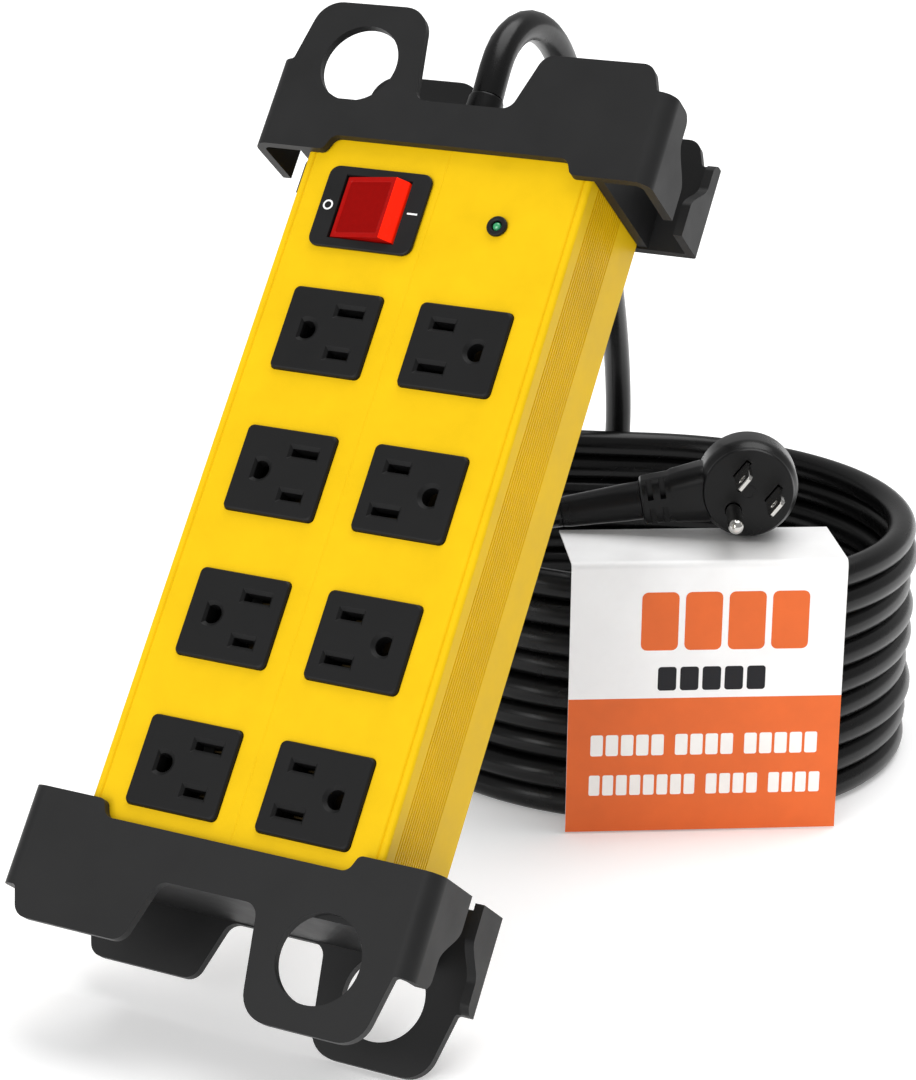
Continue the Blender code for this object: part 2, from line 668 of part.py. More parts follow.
def make_switch(strip):
    switch = frame_at("switch_frame", (*SWITCH, 0), (0, 0, 0), strip)
    place("switch_body", switch_body_mesh(), BLACK, switch)
    pivot = frame_at("rocker_pivot", (0, 0, PIVOT_Z), (0, -ROCKER_TILT, 0), switch)
    place("rocker", rocker_mesh(), RED, pivot)
    tube("rocker_spring", list(spring_points()), 0.0004, STEEL, pivot, 0.0009, 1)
    plunger = turned([
        (0.0007, -0.0122), (0.0013, -0.0117), (0.0014, -0.0110), (0.0014, -0.0099),
    ], 12)
    place("rocker_plunger", plunger, BRASS, pivot)

    arm_pivot = frame_at("contact_arm_pivot", (0, 0, ARM_Z), (0, ARM_TILT, 0), switch)
    pads = [moved(turned([(0.0011, -0.0009), (0.0011, 0.0)], 12), (x, 0, 0))
            for x in (-0.0075, 0.0075)]
    arm = carved(block((-0.0088, -0.0020, -GAP), (0.0088, 0.0020, GAP)), ("UNION", several(pads)))
    place("contact_arm", arm, BRASS, arm_pivot)
    for name, x, top in (("on", -TERMINAL_X, -0.0176), ("common", 0, -0.0155),
                         ("off", TERMINAL_X, -0.0176)):
        blade = block((x - 0.0004, -0.0023, TERMINAL_BOTTOM), (x + 0.0004, 0.0023, top))
        place(f"switch_terminal_{name}", blade, BRASS, switch)


# ---------------------------------------------------------------- indicator and board


def make_indicator(strip):
    led = frame_at("indicator_frame", (*LED, 0), (0, 0, 0), strip)
    bezel = ring([
        (0.00150, -0.0060), (0.0023, -0.0060), (0.0023, GAP), (0.00295, GAP),
        (0.00295, 0.0009), (0.0026, 0.0013), (0.0018, 0.0013), (0.00150, 0.0010),
    ], 24)
    place("indicator_bezel", bezel, BLACK, led)
    dome = [(0.00115 * cos(a), 0.0004 + 0.0009 * sin(a)) for a in (0, 0.4, 0.8, 1.2, 1.45)]
    place("indicator_lens", turned([(0.00115, -0.0085), *dome], 18), GREEN, led)

    board = block(BOARD_LOW, BOARD_HIGH)
    place("surge_board", board, BOARD_GREEN, strip)
    floor = -BODY_DEPTH + BACK_PLATE + GAP
    post = mesh_of(turned([(0.0025, floor), (0.0025, BOARD_LOW[2] - GAP)], 12))
    for number, x in enumerate((0.0075, 0.0325), 1):
        where = (x, (BOARD_LOW[1] + BOARD_HIGH[1]) / 2, 0)
        place(f"board_post_{number}", post, CREAM, strip, where)
    disc = mesh_of(turned([
        (0.0055, -0.0021), (0.0065, -0.0012), (0.0065, 0.0012), (0.0055, 0.0021),
    ], 20, "y"))
    for number, x in enumerate((0.0120, 0.0280), 1):
        where = (x, 0.0720, BOARD_HIGH[2] + GAP + 0.0065)
        place(f"varistor_{number}", disc, BLUE, strip, where)


# ---------------------------------------------------------------- wires


def make_wires(strip):
    stub_end = 0.0970
    bar_z = BAR_Z + BAR_THICK / 2
    bar_end = COLUMN_Y + BAR_HALF_LENGTH + GAP
    line_x = -COLUMN_X + SLOT_X + 0.0053
    neutral_x = -COLUMN_X + SLOT_X - 0.0055
    ground_x = -COLUMN_X + GROUND_X
    terminal_y = SWITCH[1]
    terminal_z = TERMINAL_BOTTOM - GAP
    stub = turned([(CORD / 2, stub_end), (CORD / 2, 0.1080)], 16, "y", (GLAND_X, GLAND_Z))
    place("cord_inner_end", stub, RUBBER, strip)
    start = stub_end - GAP
    routes = {
        "line_in": [
            (GLAND_X, start, -0.0224), (-0.0065, 0.0935, -0.0275), (-0.0115, 0.0885, -0.0330),
            (-0.0172, 0.0835, -0.0345), (SWITCH[0], 0.0815, -0.0320),
            (SWITCH[0], terminal_y, terminal_z),
        ],
        "line_switched": [
            (SWITCH[0] - TERMINAL_X, terminal_y, terminal_z), (-0.0264, 0.0785, -0.0318),
            (-0.0220, 0.0720, -0.0315), (-0.0140, 0.0670, -0.0270), (line_x, 0.0645, -0.0190),
            (line_x, 0.0625, bar_z - 0.0013), (line_x, bar_end, bar_z),
        ],
        "neutral_in": [
            (-0.0032, start, GLAND_Z), (-0.0015, 0.0920, -0.0260), (-0.0020, 0.0840, -0.0340),
            (-0.0090, 0.0740, -0.0365), (-0.0170, 0.0665, -0.0330), (neutral_x, 0.0632, -0.0235),
            (neutral_x, 0.0618, -0.0172), (neutral_x, bar_end, bar_z),
        ],
        "ground_in": [
            (-0.0076, start, GLAND_Z), (-0.0120, 0.0945, -0.0240), (-0.0240, 0.0940, -0.0300),
            (-0.0330, 0.0880, -0.0330), (-0.0355, 0.0780, -0.0330), (-0.0345, 0.0680, -0.0300),
            (-0.0290, 0.0640, -0.0225), (ground_x, 0.0620, -0.0170), (ground_x, bar_end, bar_z),
        ],
    }
    along, down = (0, 1, 0), (0, 0, -1)
    ends = {
        "line_in": ((0, -1, 0), down), "line_switched": (down, along),
        "neutral_in": ((0, -1, 0), along), "ground_in": ((0, -1, 0), along),
    }
    for name, route in routes.items():
        colour = WIRE_COLOURS[name.split("_")[0]]
        tube(f"wire_{name}", straight_ended(route, *ends[name]), WIRE, colour, strip, 0.0035, 1)

    low_end = COLUMN_Y - BAR_HALF_LENGTH - GAP
    for name, x, depth in (("line", -line_x, 0.0038), ("neutral", -neutral_x, 0.0064),
                           ("ground", -ground_x, 0.0090)):
        y = low_end - depth
        bend = depth * 0.55
        route = [(-x, low_end, bar_z), (-x, y + bend, bar_z), (-x + bend, y, bar_z), (0, y, bar_z),
                 (x - bend, y, bar_z), (x, y + bend, bar_z), (x, low_end, bar_z)]
        route = straight_ended(route, (0, -1, 0), (0, -1, 0), 0.0006)
        tube(f"jumper_{name}", route, WIRE, WIRE_COLOURS[name], strip, 0.0025, 1)


# ---------------------------------------------------------------- cord, coil, plug and card


def make_cord(strip, strip_place):
    wall_out = END_WALL_E + END_WALL + GAP
    gland = turned([
        (0.0085, 0.1085), (0.0085, END_WALL_E - GAP), (0.0067, END_WALL_E - GAP),
        (0.0067, wall_out), (0.0084, wall_out), (0.0084, wall_out + 0.0018),
        (0.0064, wall_out + 0.0026), (0.0059, 0.1250), (0.0054, GLAND_TIP_E),
    ], 20, "y", (GLAND_X, GLAND_Z))
    place("strain_relief", gland, RUBBER, strip)

    # Out of the gland, over and down behind the strip, then round the coil's far side
    exit_point = strip_place @ Vector((GLAND_X, GLAND_TIP_E + GAP, GLAND_Z))
    outward = Vector((0, sin(LEAN), cos(LEAN)))
    top_lead = [
        exit_point, exit_point + outward * 0.007, (-0.0068, 0.0880, 0.2455),
        (-0.0072, 0.1070, 0.2510), (-0.0085, 0.1300, 0.2420), (-0.0135, 0.1560, 0.2200),
        (-0.0218, 0.1870, 0.1930), (-0.0320, 0.2220, 0.1650), (-0.0420, 0.2550, 0.1320),
        (-0.0500, 0.2800, 0.1000), (-0.0545, 0.2920, 0.0700), (-0.0600, 0.2950, 0.0430),
        (-0.0720, 0.2880, 0.0200), (-0.0880, 0.2680, 0.0075), (-0.0970, 0.2400, 0.0047),
        (-0.0975, 0.2100, CORD / 2), (-0.0932, 0.1840, CORD / 2),
    ]
    tube("cord_lead", top_lead, CORD, RUBBER, spacing=0.020)

    inner, outer = COIL_RADIUS - CORD / 2, COIL_RADIUS + CORD / 2
    profile = rounded([
        (inner, 0, 0.003), (outer, 0, 0.003), (outer, COIL_HEIGHT, 0.003),
        (inner, COIL_HEIGHT, 0.003),
    ], 2)
    place("cord_coil", ring(profile, 56), RUBBER, at=(*COIL, 0))


def plug_frame():
    """The matrix of the plug: its face at z = 0, x to the right of it, y up."""
    upright = Matrix.Rotation(PLUG_TURN, 4, "Z") @ Matrix.Rotation(pi / 2, 4, "X")
    return Matrix.Translation(PLUG_FACE) @ upright @ Matrix.Rotation(PLUG_ROLL, 4, "Z")


def make_plug():
    matrix = plug_frame()
    plug = frame_at("plug_frame", matrix.translation, matrix.to_euler())
    middle = -PLUG_DEPTH / 2

    head = turned([
        (PLUG_RADIUS - 0.0025, -PLUG_DEPTH), (PLUG_RADIUS, -PLUG_DEPTH + 0.0030),
        (PLUG_RADIUS, -0.0045), (PLUG_FACE_RADIUS + 0.0004, -0.0008), (PLUG_FACE_RADIUS, 0.0),
    ], 36)
    neck = stack([
        (rectangle(0.0185, 0.0160, 0.0050, 3, (0, middle)), -0.0060),
        (rectangle(0.0185, 0.0160, 0.0050, 3, (0, middle)), -0.0140),
        (rectangle(0.0145, 0.0135, 0.0045, 3, (0, middle)), -NECK_END),
    ], "x")
    pockets = [prism(outline, -PLUG_POCKET, 0.002) for outline in contact_outlines(GAP)]
    body = carved(head, ("UNION", neck), ("DIFFERENCE", several(pockets)))
    place("plug_body", body, RUBBER, plug)

    collar = NECK_END + GAP
    relief = stack([
        (circle(0.0061, 16, (0, middle)), -collar),
        (circle(0.0060, 16, (0, middle)), -collar - 0.0050),
        (circle(0.0050, 16, (0, middle)), -RELIEF_END + 0.0020),
        (circle(0.0047, 16, (0, middle)), -RELIEF_END),
    ], "x")
    place("plug_strain_relief", relief, RUBBER, plug)

    outlines = contact_outlines(0)
    base = GAP - PLUG_POCKET
    for name, outline in zip(("left", "right"), outlines):
        tip = [(u * 0.985, v * 0.985) for u, v in outline]
        blade = stack([(outline, base), (outline, BLADE_LENGTH - 0.0012), (tip, BLADE_LENGTH)])
        place(f"plug_blade_{name}", blade, NICKEL, plug)
    pin = turned([
        (PIN_RADIUS, base), (PIN_RADIUS, PIN_LENGTH - 0.0022),
        (PIN_RADIUS * 0.8, PIN_LENGTH - 0.0008), (PIN_RADIUS * 0.4, PIN_LENGTH),
    ], 16, "z", ground_pin_centre())
    place("plug_ground_pin", pin, NICKEL, plug)

    ride = COIL_HEIGHT + CORD / 2 + GAP
    tail = []
    for degrees in (205, 215, 225):
        x, y = COIL_RADIUS * cos(radians(degrees)), COIL_RADIUS * sin(radians(degrees))
        tail.append((COIL[0] + x, COIL[1] + y, ride))
    relief_end = matrix @ Vector((-RELIEF_END - GAP, 0, middle))
    straight = matrix @ Vector((-RELIEF_END - 0.007, 0, middle))
    tail += [(-0.0460, 0.1225, 0.0866), (-0.0320, 0.1180, 0.0885), (-0.0190, 0.1200, 0.0913)]
    tail += [straight, relief_end]
    tube("cord_tail", tail, CORD, RUBBER, spacing=0.018)


def contact_outlines(grow):
    """The two blades' and the ground pin's outlines on the plug's face, grown by a gap."""
    turn = Matrix.Rotation(BLADE_TURN, 2)
    middle = turn @ Vector((0, PIN_OFFSET / 2 - 0.0015))
    outlines = []
    for side in (-1, 1):
        flat = rectangle(BLADE_THICK + 2 * grow, BLADE_WIDTH + 2 * grow)
        outlines.append([middle + turn @ (p + Vector((side * SLOT_OFFSET, 0))) for p in flat])
    if grow:
        outlines.append(circle(PIN_RADIUS + grow, 16, ground_pin_centre()))
    return outlines


def ground_pin_centre():
    turn = Matrix.Rotation(BLADE_TURN, 2)
    return tuple(turn @ Vector((0, -PIN_OFFSET / 2 - 0.0015)))


def make_card():
    """One panel down the coil's near side, one across its top, and a narrower flap inside it."""
    front, back, top, foot = -CARD_FRONT, -CARD_BACK, CARD_TOP, 0.0002
    fold = 0.0015
    section = rounded([
        (front, foot, 0), (front, top, fold), (back, top, 0), (back, top - CARD, 0),
        (front + CARD, top - CARD, fold - CARD), (front + CARD, foot, 0),
    ], 3)
    inner = back - GAP
    flap = block(
        (CARD_LEFT + FLAP_INSET, inner - CARD, FLAP_FOOT),
        (CARD_RIGHT - FLAP_INSET, inner, top - CARD / 2),
    )
    card = carved(prism(section, CARD_LEFT, CARD_RIGHT, "x"), ("UNION", flap))
    place("card_band", card, WHITE_CARD, at=(*COIL, 0), turn=(0, 0, CARD_TURN))


# ---------------------------------------------------------------- the whole


def strip_location():
    """Where the strip's frame sits for its own box to stand centred on the origin."""
    drop = RING_END_E * cos(LEAN) - BRACKET_BACK * sin(LEAN)
    back = RING_END_E * sin(LEAN) - BRACKET_BACK * cos(LEAN)
    front = -RING_END_E * sin(LEAN) - BRACKET_FRONT * cos(LEAN)
    return Vector((0, -(back + front) / 2, drop))


def main():
    for old in list(bpy.data.objects):
        bpy.data.objects.remove(old)
    where = strip_location()
    turn = (pi / 2 - LEAN, 0, 0)
    strip = frame_at("strip_frame", where, turn)
    strip_place = Matrix.Translation(where) @ Matrix.Rotation(turn[0], 4, "X")
    make_housing(strip)
    make_brackets(strip)
    make_outlets(strip)
    make_switch(strip)
    make_indicator(strip)
    make_wires(strip)
    make_cord(strip, strip_place)
    make_plug()
    make_card()


main()
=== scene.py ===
"""The power strip's visual model, its materials, its studio and its camera.

Pieces of the strip are made in its own frame: x across, y along it and z out of its front face,
which is z = 0. That frame, the coil's centre and the plug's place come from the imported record
and the CAD boxes. Metres throughout.
"""

import json
from math import atan2, ceil, cos, pi, radians, sin, tan

import bmesh
import bpy
from mathutils import Matrix, Vector


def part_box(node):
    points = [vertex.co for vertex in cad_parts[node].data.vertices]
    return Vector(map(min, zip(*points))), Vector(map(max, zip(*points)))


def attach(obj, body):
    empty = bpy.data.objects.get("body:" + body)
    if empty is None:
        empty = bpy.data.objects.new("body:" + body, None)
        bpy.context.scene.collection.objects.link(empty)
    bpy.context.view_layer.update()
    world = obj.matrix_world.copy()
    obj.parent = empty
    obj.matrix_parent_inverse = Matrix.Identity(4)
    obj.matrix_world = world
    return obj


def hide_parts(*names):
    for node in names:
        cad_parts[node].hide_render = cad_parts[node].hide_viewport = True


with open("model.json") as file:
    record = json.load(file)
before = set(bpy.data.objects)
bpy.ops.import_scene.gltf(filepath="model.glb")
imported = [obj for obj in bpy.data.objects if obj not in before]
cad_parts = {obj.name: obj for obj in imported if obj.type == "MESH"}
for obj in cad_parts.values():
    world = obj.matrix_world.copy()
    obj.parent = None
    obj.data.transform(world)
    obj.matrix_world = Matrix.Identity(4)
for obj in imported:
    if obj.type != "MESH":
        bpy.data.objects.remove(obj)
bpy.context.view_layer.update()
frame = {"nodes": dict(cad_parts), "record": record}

GAP = 0.0003

# Housing
BODY_HALF_WIDTH, BODY_DEPTH, BODY_HALF_LENGTH = 0.0443, 0.0402, 0.1115
WALL = 0.0018
RIB_COUNT = 15
RIB_TOP, RIB_BOTTOM, RIB_DEPTH = 0.0055, 0.0257, 0.00060
FRONT_GROOVE_X = 0.0420
BOSS_X, BOSS_Z, BOSS_BORE = 0.0390, -0.0200, 0.0021
WINDOW_CUT = (-0.003, 0.001)      # through the front wall and past its face

# Brackets: e is the distance outward from the strip's middle
BRACKET_HALF_WIDTH, BRACKET_PLATE = 0.0619, 0.0027
BRACKET_FRONT = GAP + BRACKET_PLATE
BRACKET_BACK = -(BODY_DEPTH + GAP + BRACKET_PLATE)
TAB_E, RECESS_E, NOTCH_E = 0.0974, 0.1021, 0.1154
TAB_X, RECESS_X = 0.0386, 0.0366
FLANGE_END_E, RING_END_E, WING_END_E = 0.1250, 0.1444, 0.1330
RING_HOLE, RING_HOLE_RADIUS = (-0.0360, 0.1253), 0.0120
END_WALL_E, END_WALL = 0.1120, 0.0030
FRONT_BEND, BACK_BEND = 0.0050, 0.0012
BRACKET_EDGE = 0.00045
END_WALL_CUT = (0.105, 0.120)     # right through the end wall

# Outlets
COLUMN_X, COLUMN_Y = 0.0199, -0.02045
ROW_PITCH, ROWS = 0.0425, 4
OUTLET_WIDTH, OUTLET_HEIGHT, OUTLET_RAISE, OUTLET_EDGE = 0.0280, 0.0253, 0.0013, 0.0008
OUTLET_CORNER, OUTLET_RIM, OUTLET_RIM_DEPTH = 0.0017, 0.0013, 0.0017
SLOT_X, GROUND_X, SLOT_OFFSET = 0.00545, -0.00645, 0.00635
SLOT_WIDTH, HOT_LENGTH, NEUTRAL_LENGTH = 0.0023, 0.0064, 0.0080
GROUND_RADIUS = 0.0027
FUNNEL_SIDE, FUNNEL_END, FUNNEL_DEPTH = 0.0011, 0.0008, 0.0009

# Switch and indicator
SWITCH = (-0.0186, 0.0812)
BEZEL_WIDTH, BEZEL_HEIGHT, BEZEL_TOP = 0.0326, 0.0251, 0.0013
BEZEL_CORNER, BEZEL_EDGE, SWITCH_CORNER = 0.0030, 0.0004, 0.0005
OPENING_WIDTH, OPENING_HEIGHT = 0.0208, 0.0195
SWITCH_WIDTH, SWITCH_HEIGHT, SWITCH_BOTTOM = 0.0276, 0.0216, -0.0215
PIVOT_Z, ROCKER_TILT, ROCKER_REACH = -0.0015, radians(11.5), 0.0101
ROCKER_TOP, ROCKER_LEFT, ROCKER_RIGHT = 0.00425, 0.0093, 0.0078
PANE_INSET, PANE_DEPTH, PANE_SLOPE = 0.0014, 0.00030, 0.0005
MARK_X, MARK_DEPTH = 0.0134, 0.00006
LED, LED_WINDOW = (0.0209, 0.0808), 0.0026

# Cord
CORD = 0.0090
CORD_DRAWN = 1.04                 # drawn this much thicker, to close hairline gaps between turns
CORD_HOLE = 0.0070
ROUTE_SPACING, ROUTE_EASING = 0.005, 4
LEAN = radians(37)
GLAND_X, GLAND_Z, GLAND_TIP_E = -0.0054, -0.0200, 0.1293
COIL_TURNS, COIL_START, COIL_STEP = 9, 205, 12    # the last two in degrees
CLIMB_FROM, CLIMB_OVER = 270, 70                  # degrees into each turn

# Card, about the coil's centre
CARD = 0.0006
CARD_TURN = radians(31.7)
CARD_FRONT, CARD_BACK, CARD_TOP = 0.0920, 0.0580, 0.0895
CARD_LEFT, CARD_RIGHT = -0.0382, 0.0478
FLAP_INSET, FLAP_FOOT = 0.0200, 0.0300
CARD_SPLIT = 0.0450
PRINT_DEPTH = 0.00006

# Plug, about the coil's centre: it faces along its own z, with its lead leaving along -x
PLUG_OFFSET = (0.0547, -0.0520, 0.1057)
PLUG_TURN, PLUG_ROLL, BLADE_TURN = radians(24.5), radians(10.5), radians(-48)
PLUG_RADIUS, PLUG_FACE_RADIUS, PLUG_DEPTH = 0.0158, 0.0140, 0.0190
BLADE_LENGTH, BLADE_THICK, BLADE_WIDTH = 0.0165, 0.0015, 0.0063
PIN_RADIUS, PIN_LENGTH, PIN_OFFSET = 0.0024, 0.0190, 0.0119
PLUG_POCKET = 0.0030
PLUG_MIDDLE = -PLUG_DEPTH / 2
NECK_END, RELIEF_END = 0.0335, 0.0590

# Camera: where it stands, and its right, down and forward directions
CAMERA_AT = (0.3632736, -0.6667860, 0.3661846)
CAMERA_RIGHT = (0.891994, 0.451839, 0.013687)
CAMERA_DOWN = (0.148764, -0.264820, -0.952754)
CAMERA_FORWARD = (-0.426867, 0.851887, -0.303435)
CAMERA_LENS = 96.18
CAMERA_SHIFT = (-0.00833, -0.00769)


# ---------------------------------------------------------------- places


def middle_of(node):
    low, high = (Vector(corner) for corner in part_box(node))
    return (low + high) / 2


def strip_frame():
    """The strip's frame, from the rocker's hinge: its axis runs along the strip."""
    hinge = next(j for j in frame["record"]["behaviour"]["joints"] if j["name"] == "rocker_tilt")
    axis = Vector(hinge["axis"])
    turn = Matrix.Rotation(atan2(axis.z, axis.y), 4, "X")
    pivot = Vector((*SWITCH, PIVOT_Z))
    return Matrix.Translation(Vector(hinge["pos_m"]) - turn @ pivot) @ turn


def plug_frame():
    upright = Matrix.Rotation(PLUG_TURN, 4, "Z") @ Matrix.Rotation(pi / 2, 4, "X")
    where = COIL + Vector(PLUG_OFFSET)
    return Matrix.Translation(where) @ upright @ Matrix.Rotation(PLUG_ROLL, 4, "Z")


STRIP = strip_frame()
COIL = Vector((*middle_of("cord_coil").xy, 0))
COIL_RADIUS = (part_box("cord_coil")[1][0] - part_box("cord_coil")[0][0] - CORD) / 2
PLUG = plug_frame()
ROCKER = STRIP @ Matrix.Translation((*SWITCH, PIVOT_Z)) @ Matrix.Rotation(-ROCKER_TILT, 4, "Y")


# ---------------------------------------------------------------- camera and studio


def make_camera():
    camera = bpy.data.objects.new("camera", bpy.data.cameras.new("camera"))
    bpy.context.scene.collection.objects.link(camera)
    right, down, forward = (Vector(v) for v in (CAMERA_RIGHT, CAMERA_DOWN, CAMERA_FORWARD))
    turn = Matrix((right, -down, -forward)).transposed().to_4x4()
    camera.matrix_world = Matrix.Translation(CAMERA_AT) @ turn
    camera.data.lens = CAMERA_LENS
    camera.data.sensor_width = 36
    camera.data.shift_x, camera.data.shift_y = CAMERA_SHIFT
    camera.data.clip_end = 50
    bpy.context.scene.camera = camera


def broad_light(name, towards, strength, spread_degrees):
    """A distant light as wide as a big softbox, which stands in the direction towards."""
    data = bpy.data.lights.new(name, "SUN")
    data.energy = strength
    data.angle = radians(spread_degrees)
    lamp = bpy.data.objects.new(name, data)
    bpy.context.scene.collection.objects.link(lamp)
    lamp.rotation_euler = Vector(towards).to_track_quat("Z", "Y").to_euler()


def make_studio():
    world = bpy.data.worlds.new("studio")
    world.use_nodes = True
    sky = world.node_tree.nodes["Background"]
    sky.inputs["Color"].default_value = (1, 1, 1, 1)
    sky.inputs["Strength"].default_value = 0.45
    bpy.context.scene.world = world
    bpy.context.scene.view_settings.view_transform = "Standard"

    floor = as_object("floor", prism(rectangle(40, 40), -0.02, -0.0002), "floor")
    broad_light("key", (-0.15, -0.93, 0.33), 1.75, 40)
    broad_light("top", (0.10, 0.30, 0.95), 1.9, 50)


# ---------------------------------------------------------------- materials


def noise(tree, scale, detail=4.0, roughness=0.6, stretch=(1, 1, 1)):
    """A noise texture in object coordinates."""
    places = tree.nodes.new("ShaderNodeTexCoord")
    mapping = tree.nodes.new("ShaderNodeMapping")
    mapping.inputs["Scale"].default_value = stretch
    texture = tree.nodes.new("ShaderNodeTexNoise")
    texture.inputs["Scale"].default_value = scale
    texture.inputs["Detail"].default_value = detail
    texture.inputs["Roughness"].default_value = roughness
    tree.links.new(places.outputs["Object"], mapping.inputs["Vector"])
    tree.links.new(mapping.outputs["Vector"], texture.inputs["Vector"])
    return texture.outputs["Fac"]


def spread(tree, source, low, high):
    """The noise's middle range spread from low to high."""
    ramp = tree.nodes.new("ShaderNodeMapRange")
    ramp.inputs["From Min"].default_value = 0.3
    ramp.inputs["From Max"].default_value = 0.7
    ramp.inputs["To Min"].default_value = low
    ramp.inputs["To Max"].default_value = high
    tree.links.new(source, ramp.inputs["Value"])
    return ramp.outputs["Result"]


def surface(name, colour, rough, metallic=0.0, grain=1800, height=0.00002, wear=60, **more):
    """A Principled material with uneven roughness, faint shade changes and a fine bump.

    rough is the (least, most) roughness, grain and height the bump's scale and depth, and wear
    the scale of the patches in shade and roughness.
    """
    material = bpy.data.materials.new(name)
    material.use_nodes = True
    tree = material.node_tree
    shader = tree.nodes["Principled BSDF"]
    shader.inputs["Metallic"].default_value = metallic
    for socket, value in more.items():
        shader.inputs[socket.replace("_", " ")].default_value = value

    patches = noise(tree, wear)
    tree.links.new(spread(tree, patches, *rough), shader.inputs["Roughness"])
    shade = tree.nodes.new("ShaderNodeMix")
    shade.data_type = "RGBA"
    shade.inputs["A"].default_value = (*[c * 0.95 for c in colour], 1)
    shade.inputs["B"].default_value = (*[min(c * 1.05, 1) for c in colour], 1)
    tree.links.new(spread(tree, patches, 0, 1), shade.inputs["Factor"])
    tree.links.new(shade.outputs["Result"], shader.inputs["Base Color"])

    bump = tree.nodes.new("ShaderNodeBump")
    bump.inputs["Strength"].default_value = 0.5
    bump.inputs["Distance"].default_value = height
    tree.links.new(noise(tree, grain, 2.0), bump.inputs["Height"])
    tree.links.new(bump.outputs["Normal"], shader.inputs["Normal"])
    return material


def make_materials():
    """Every look. The frame's plain ones have the same names, so they are removed first."""
    for plain in list(bpy.data.materials):
        bpy.data.materials.remove(plain)
    surface("floor", (0.95, 0.95, 0.95), (0.75, 0.85), grain=300, wear=4,
            Emission_Color=(1, 1, 1, 1), Emission_Strength=0.25)
    surface("housing_paint", (0.760, 0.478, 0.003), (0.40, 0.48), grain=2600, height=0.00003,
            Specular_IOR_Level=0.12)
    surface("bracket_plastic", (0.013, 0.013, 0.0133), (0.42, 0.52), grain=2200, height=0.00003,
            Specular_IOR_Level=0.22)
    surface("outlet_plastic", (0.007, 0.007, 0.0072), (0.46, 0.56), grain=2600,
            Specular_IOR_Level=0.18)
    surface("switch_plastic", (0.009, 0.009, 0.0094), (0.40, 0.50), grain=2600,
            Specular_IOR_Level=0.20)
    surface("rocker_red", (0.34, 0.0038, 0.0026), (0.16, 0.24), grain=700, wear=300,
            Specular_IOR_Level=0.08)
    surface("rocker_pane", (0.240, 0.0022, 0.0016), (0.16, 0.24), grain=700, wear=500,
            Specular_IOR_Level=0.05)
    # painted light on the rocker's right end: a brighter red with a faint red glow, not a lamp
    surface("rocker_end_painted_light", (0.95, 0.014, 0.003), (0.22, 0.30), grain=700, wear=300,
            Specular_IOR_Level=0.10, Emission_Color=(1.0, 0.02, 0.0, 1), Emission_Strength=0.20)
    surface("lens_green", (0.03, 0.32, 0.12), (0.08, 0.14), grain=900, wear=400, Coat_Weight=0.8)
    surface("zinc_steel", (0.60, 0.60, 0.58), (0.28, 0.42), 1.0, grain=900)
    # brass made far darker than its own colour: painted shade for the contacts seen deep in the
    # outlet holes
    surface("brass", (0.060, 0.042, 0.019), (0.34, 0.46), 1.0, grain=900)
    surface("nylon", (0.10, 0.10, 0.095), (0.45, 0.58))
    surface("board_green", (0.02, 0.20, 0.07), (0.32, 0.45), grain=1200)
    surface("varistor_blue", (0.03, 0.12, 0.42), (0.24, 0.36), grain=1200)
    surface("wire_black", (0.02, 0.02, 0.02), (0.38, 0.50))
    surface("wire_white", (0.78, 0.78, 0.75), (0.38, 0.50))
    surface("wire_green", (0.02, 0.28, 0.07), (0.38, 0.50))
    surface("nickel", (0.50, 0.49, 0.47), (0.10, 0.18), 1.0, grain=700, height=0.00001)
    surface("card", (0.985, 0.98, 0.98), (0.42, 0.52), grain=1500, height=0.00001)
    surface("card_orange", (0.800, 0.150, 0.030), (0.42, 0.52), grain=1500, height=0.00001,
            Specular_IOR_Level=0.25)
    surface("print_orange", (0.800, 0.150, 0.030), (0.42, 0.52), grain=1500, height=0.00001,
            Specular_IOR_Level=0.25)
    surface("print_dark", (0.014, 0.014, 0.017), (0.42, 0.52), grain=1500, height=0.00001,
            Specular_IOR_Level=0.20)
    surface("print_white", (0.98, 0.95, 0.92), (0.42, 0.52), grain=1500, height=0.00001)
    surface("plug_rubber", (0.003, 0.003, 0.0032), (0.24, 0.34), grain=1600,
            Specular_IOR_Level=0.20)
    surface("cord_jacket", (0.003, 0.003, 0.0031), (0.22, 0.32), grain=900, wear=25,
            Specular_IOR_Level=0.24)
    surface("mark_white", (0.85, 0.85, 0.85), (0.45, 0.55))


# ---------------------------------------------------------------- outlines and solids


def rounded(corners, steps=6):
    """A closed outline whose corners (u, v, radius) are rounded with arcs."""
    points = []
    for i, (u, v, radius) in enumerate(corners):
        here = Vector((u, v))
        if not radius:
            points.append(here)
            continue
        back = (Vector(corners[i - 1][:2]) - here).normalized()
        onward = (Vector(corners[(i + 1) % len(corners)][:2]) - here).normalized()
        half = back.angle(onward) / 2
        centre = here + (back + onward).normalized() * radius / sin(half)
        first = here + back * radius / tan(half) - centre
        last = here + onward * radius / tan(half) - centre
        start = atan2(first.y, first.x)
        sweep = (atan2(last.y, last.x) - start + pi) % (2 * pi) - pi
        for k in range(steps + 1):
            angle = start + sweep * k / steps
            points.append(centre + Vector((cos(angle), sin(angle))) * radius)
    return points


def rectangle(width, height, radius=0.0, steps=6, centre=(0, 0)):
    u, v = width / 2, height / 2
    corners = [(-u, -v), (u, -v), (u, v), (-u, v)]
    return rounded([(centre[0] + a, centre[1] + b, radius) for a, b in corners], steps)


def circle(radius, segments, centre=(0, 0)):
    angles = [2 * pi * k / segments for k in range(segments)]
    return [Vector((centre[0] + radius * cos(a), centre[1] + radius * sin(a))) for a in angles]


def loft(rings):
    """A closed skin over rings of points of equal count, capped at both ends."""
    shape = bmesh.new()
    loops = [[shape.verts.new(point) for point in ring] for ring in rings]
    shape.faces.new(loops[0])
    shape.faces.new(loops[-1])
    for one, two in zip(loops, loops[1:]):
        for i in range(len(one)):
            shape.faces.new((one[i - 1], one[i], two[i], two[i - 1]))
    bmesh.ops.recalc_face_normals(shape, faces=shape.faces)
    return shape


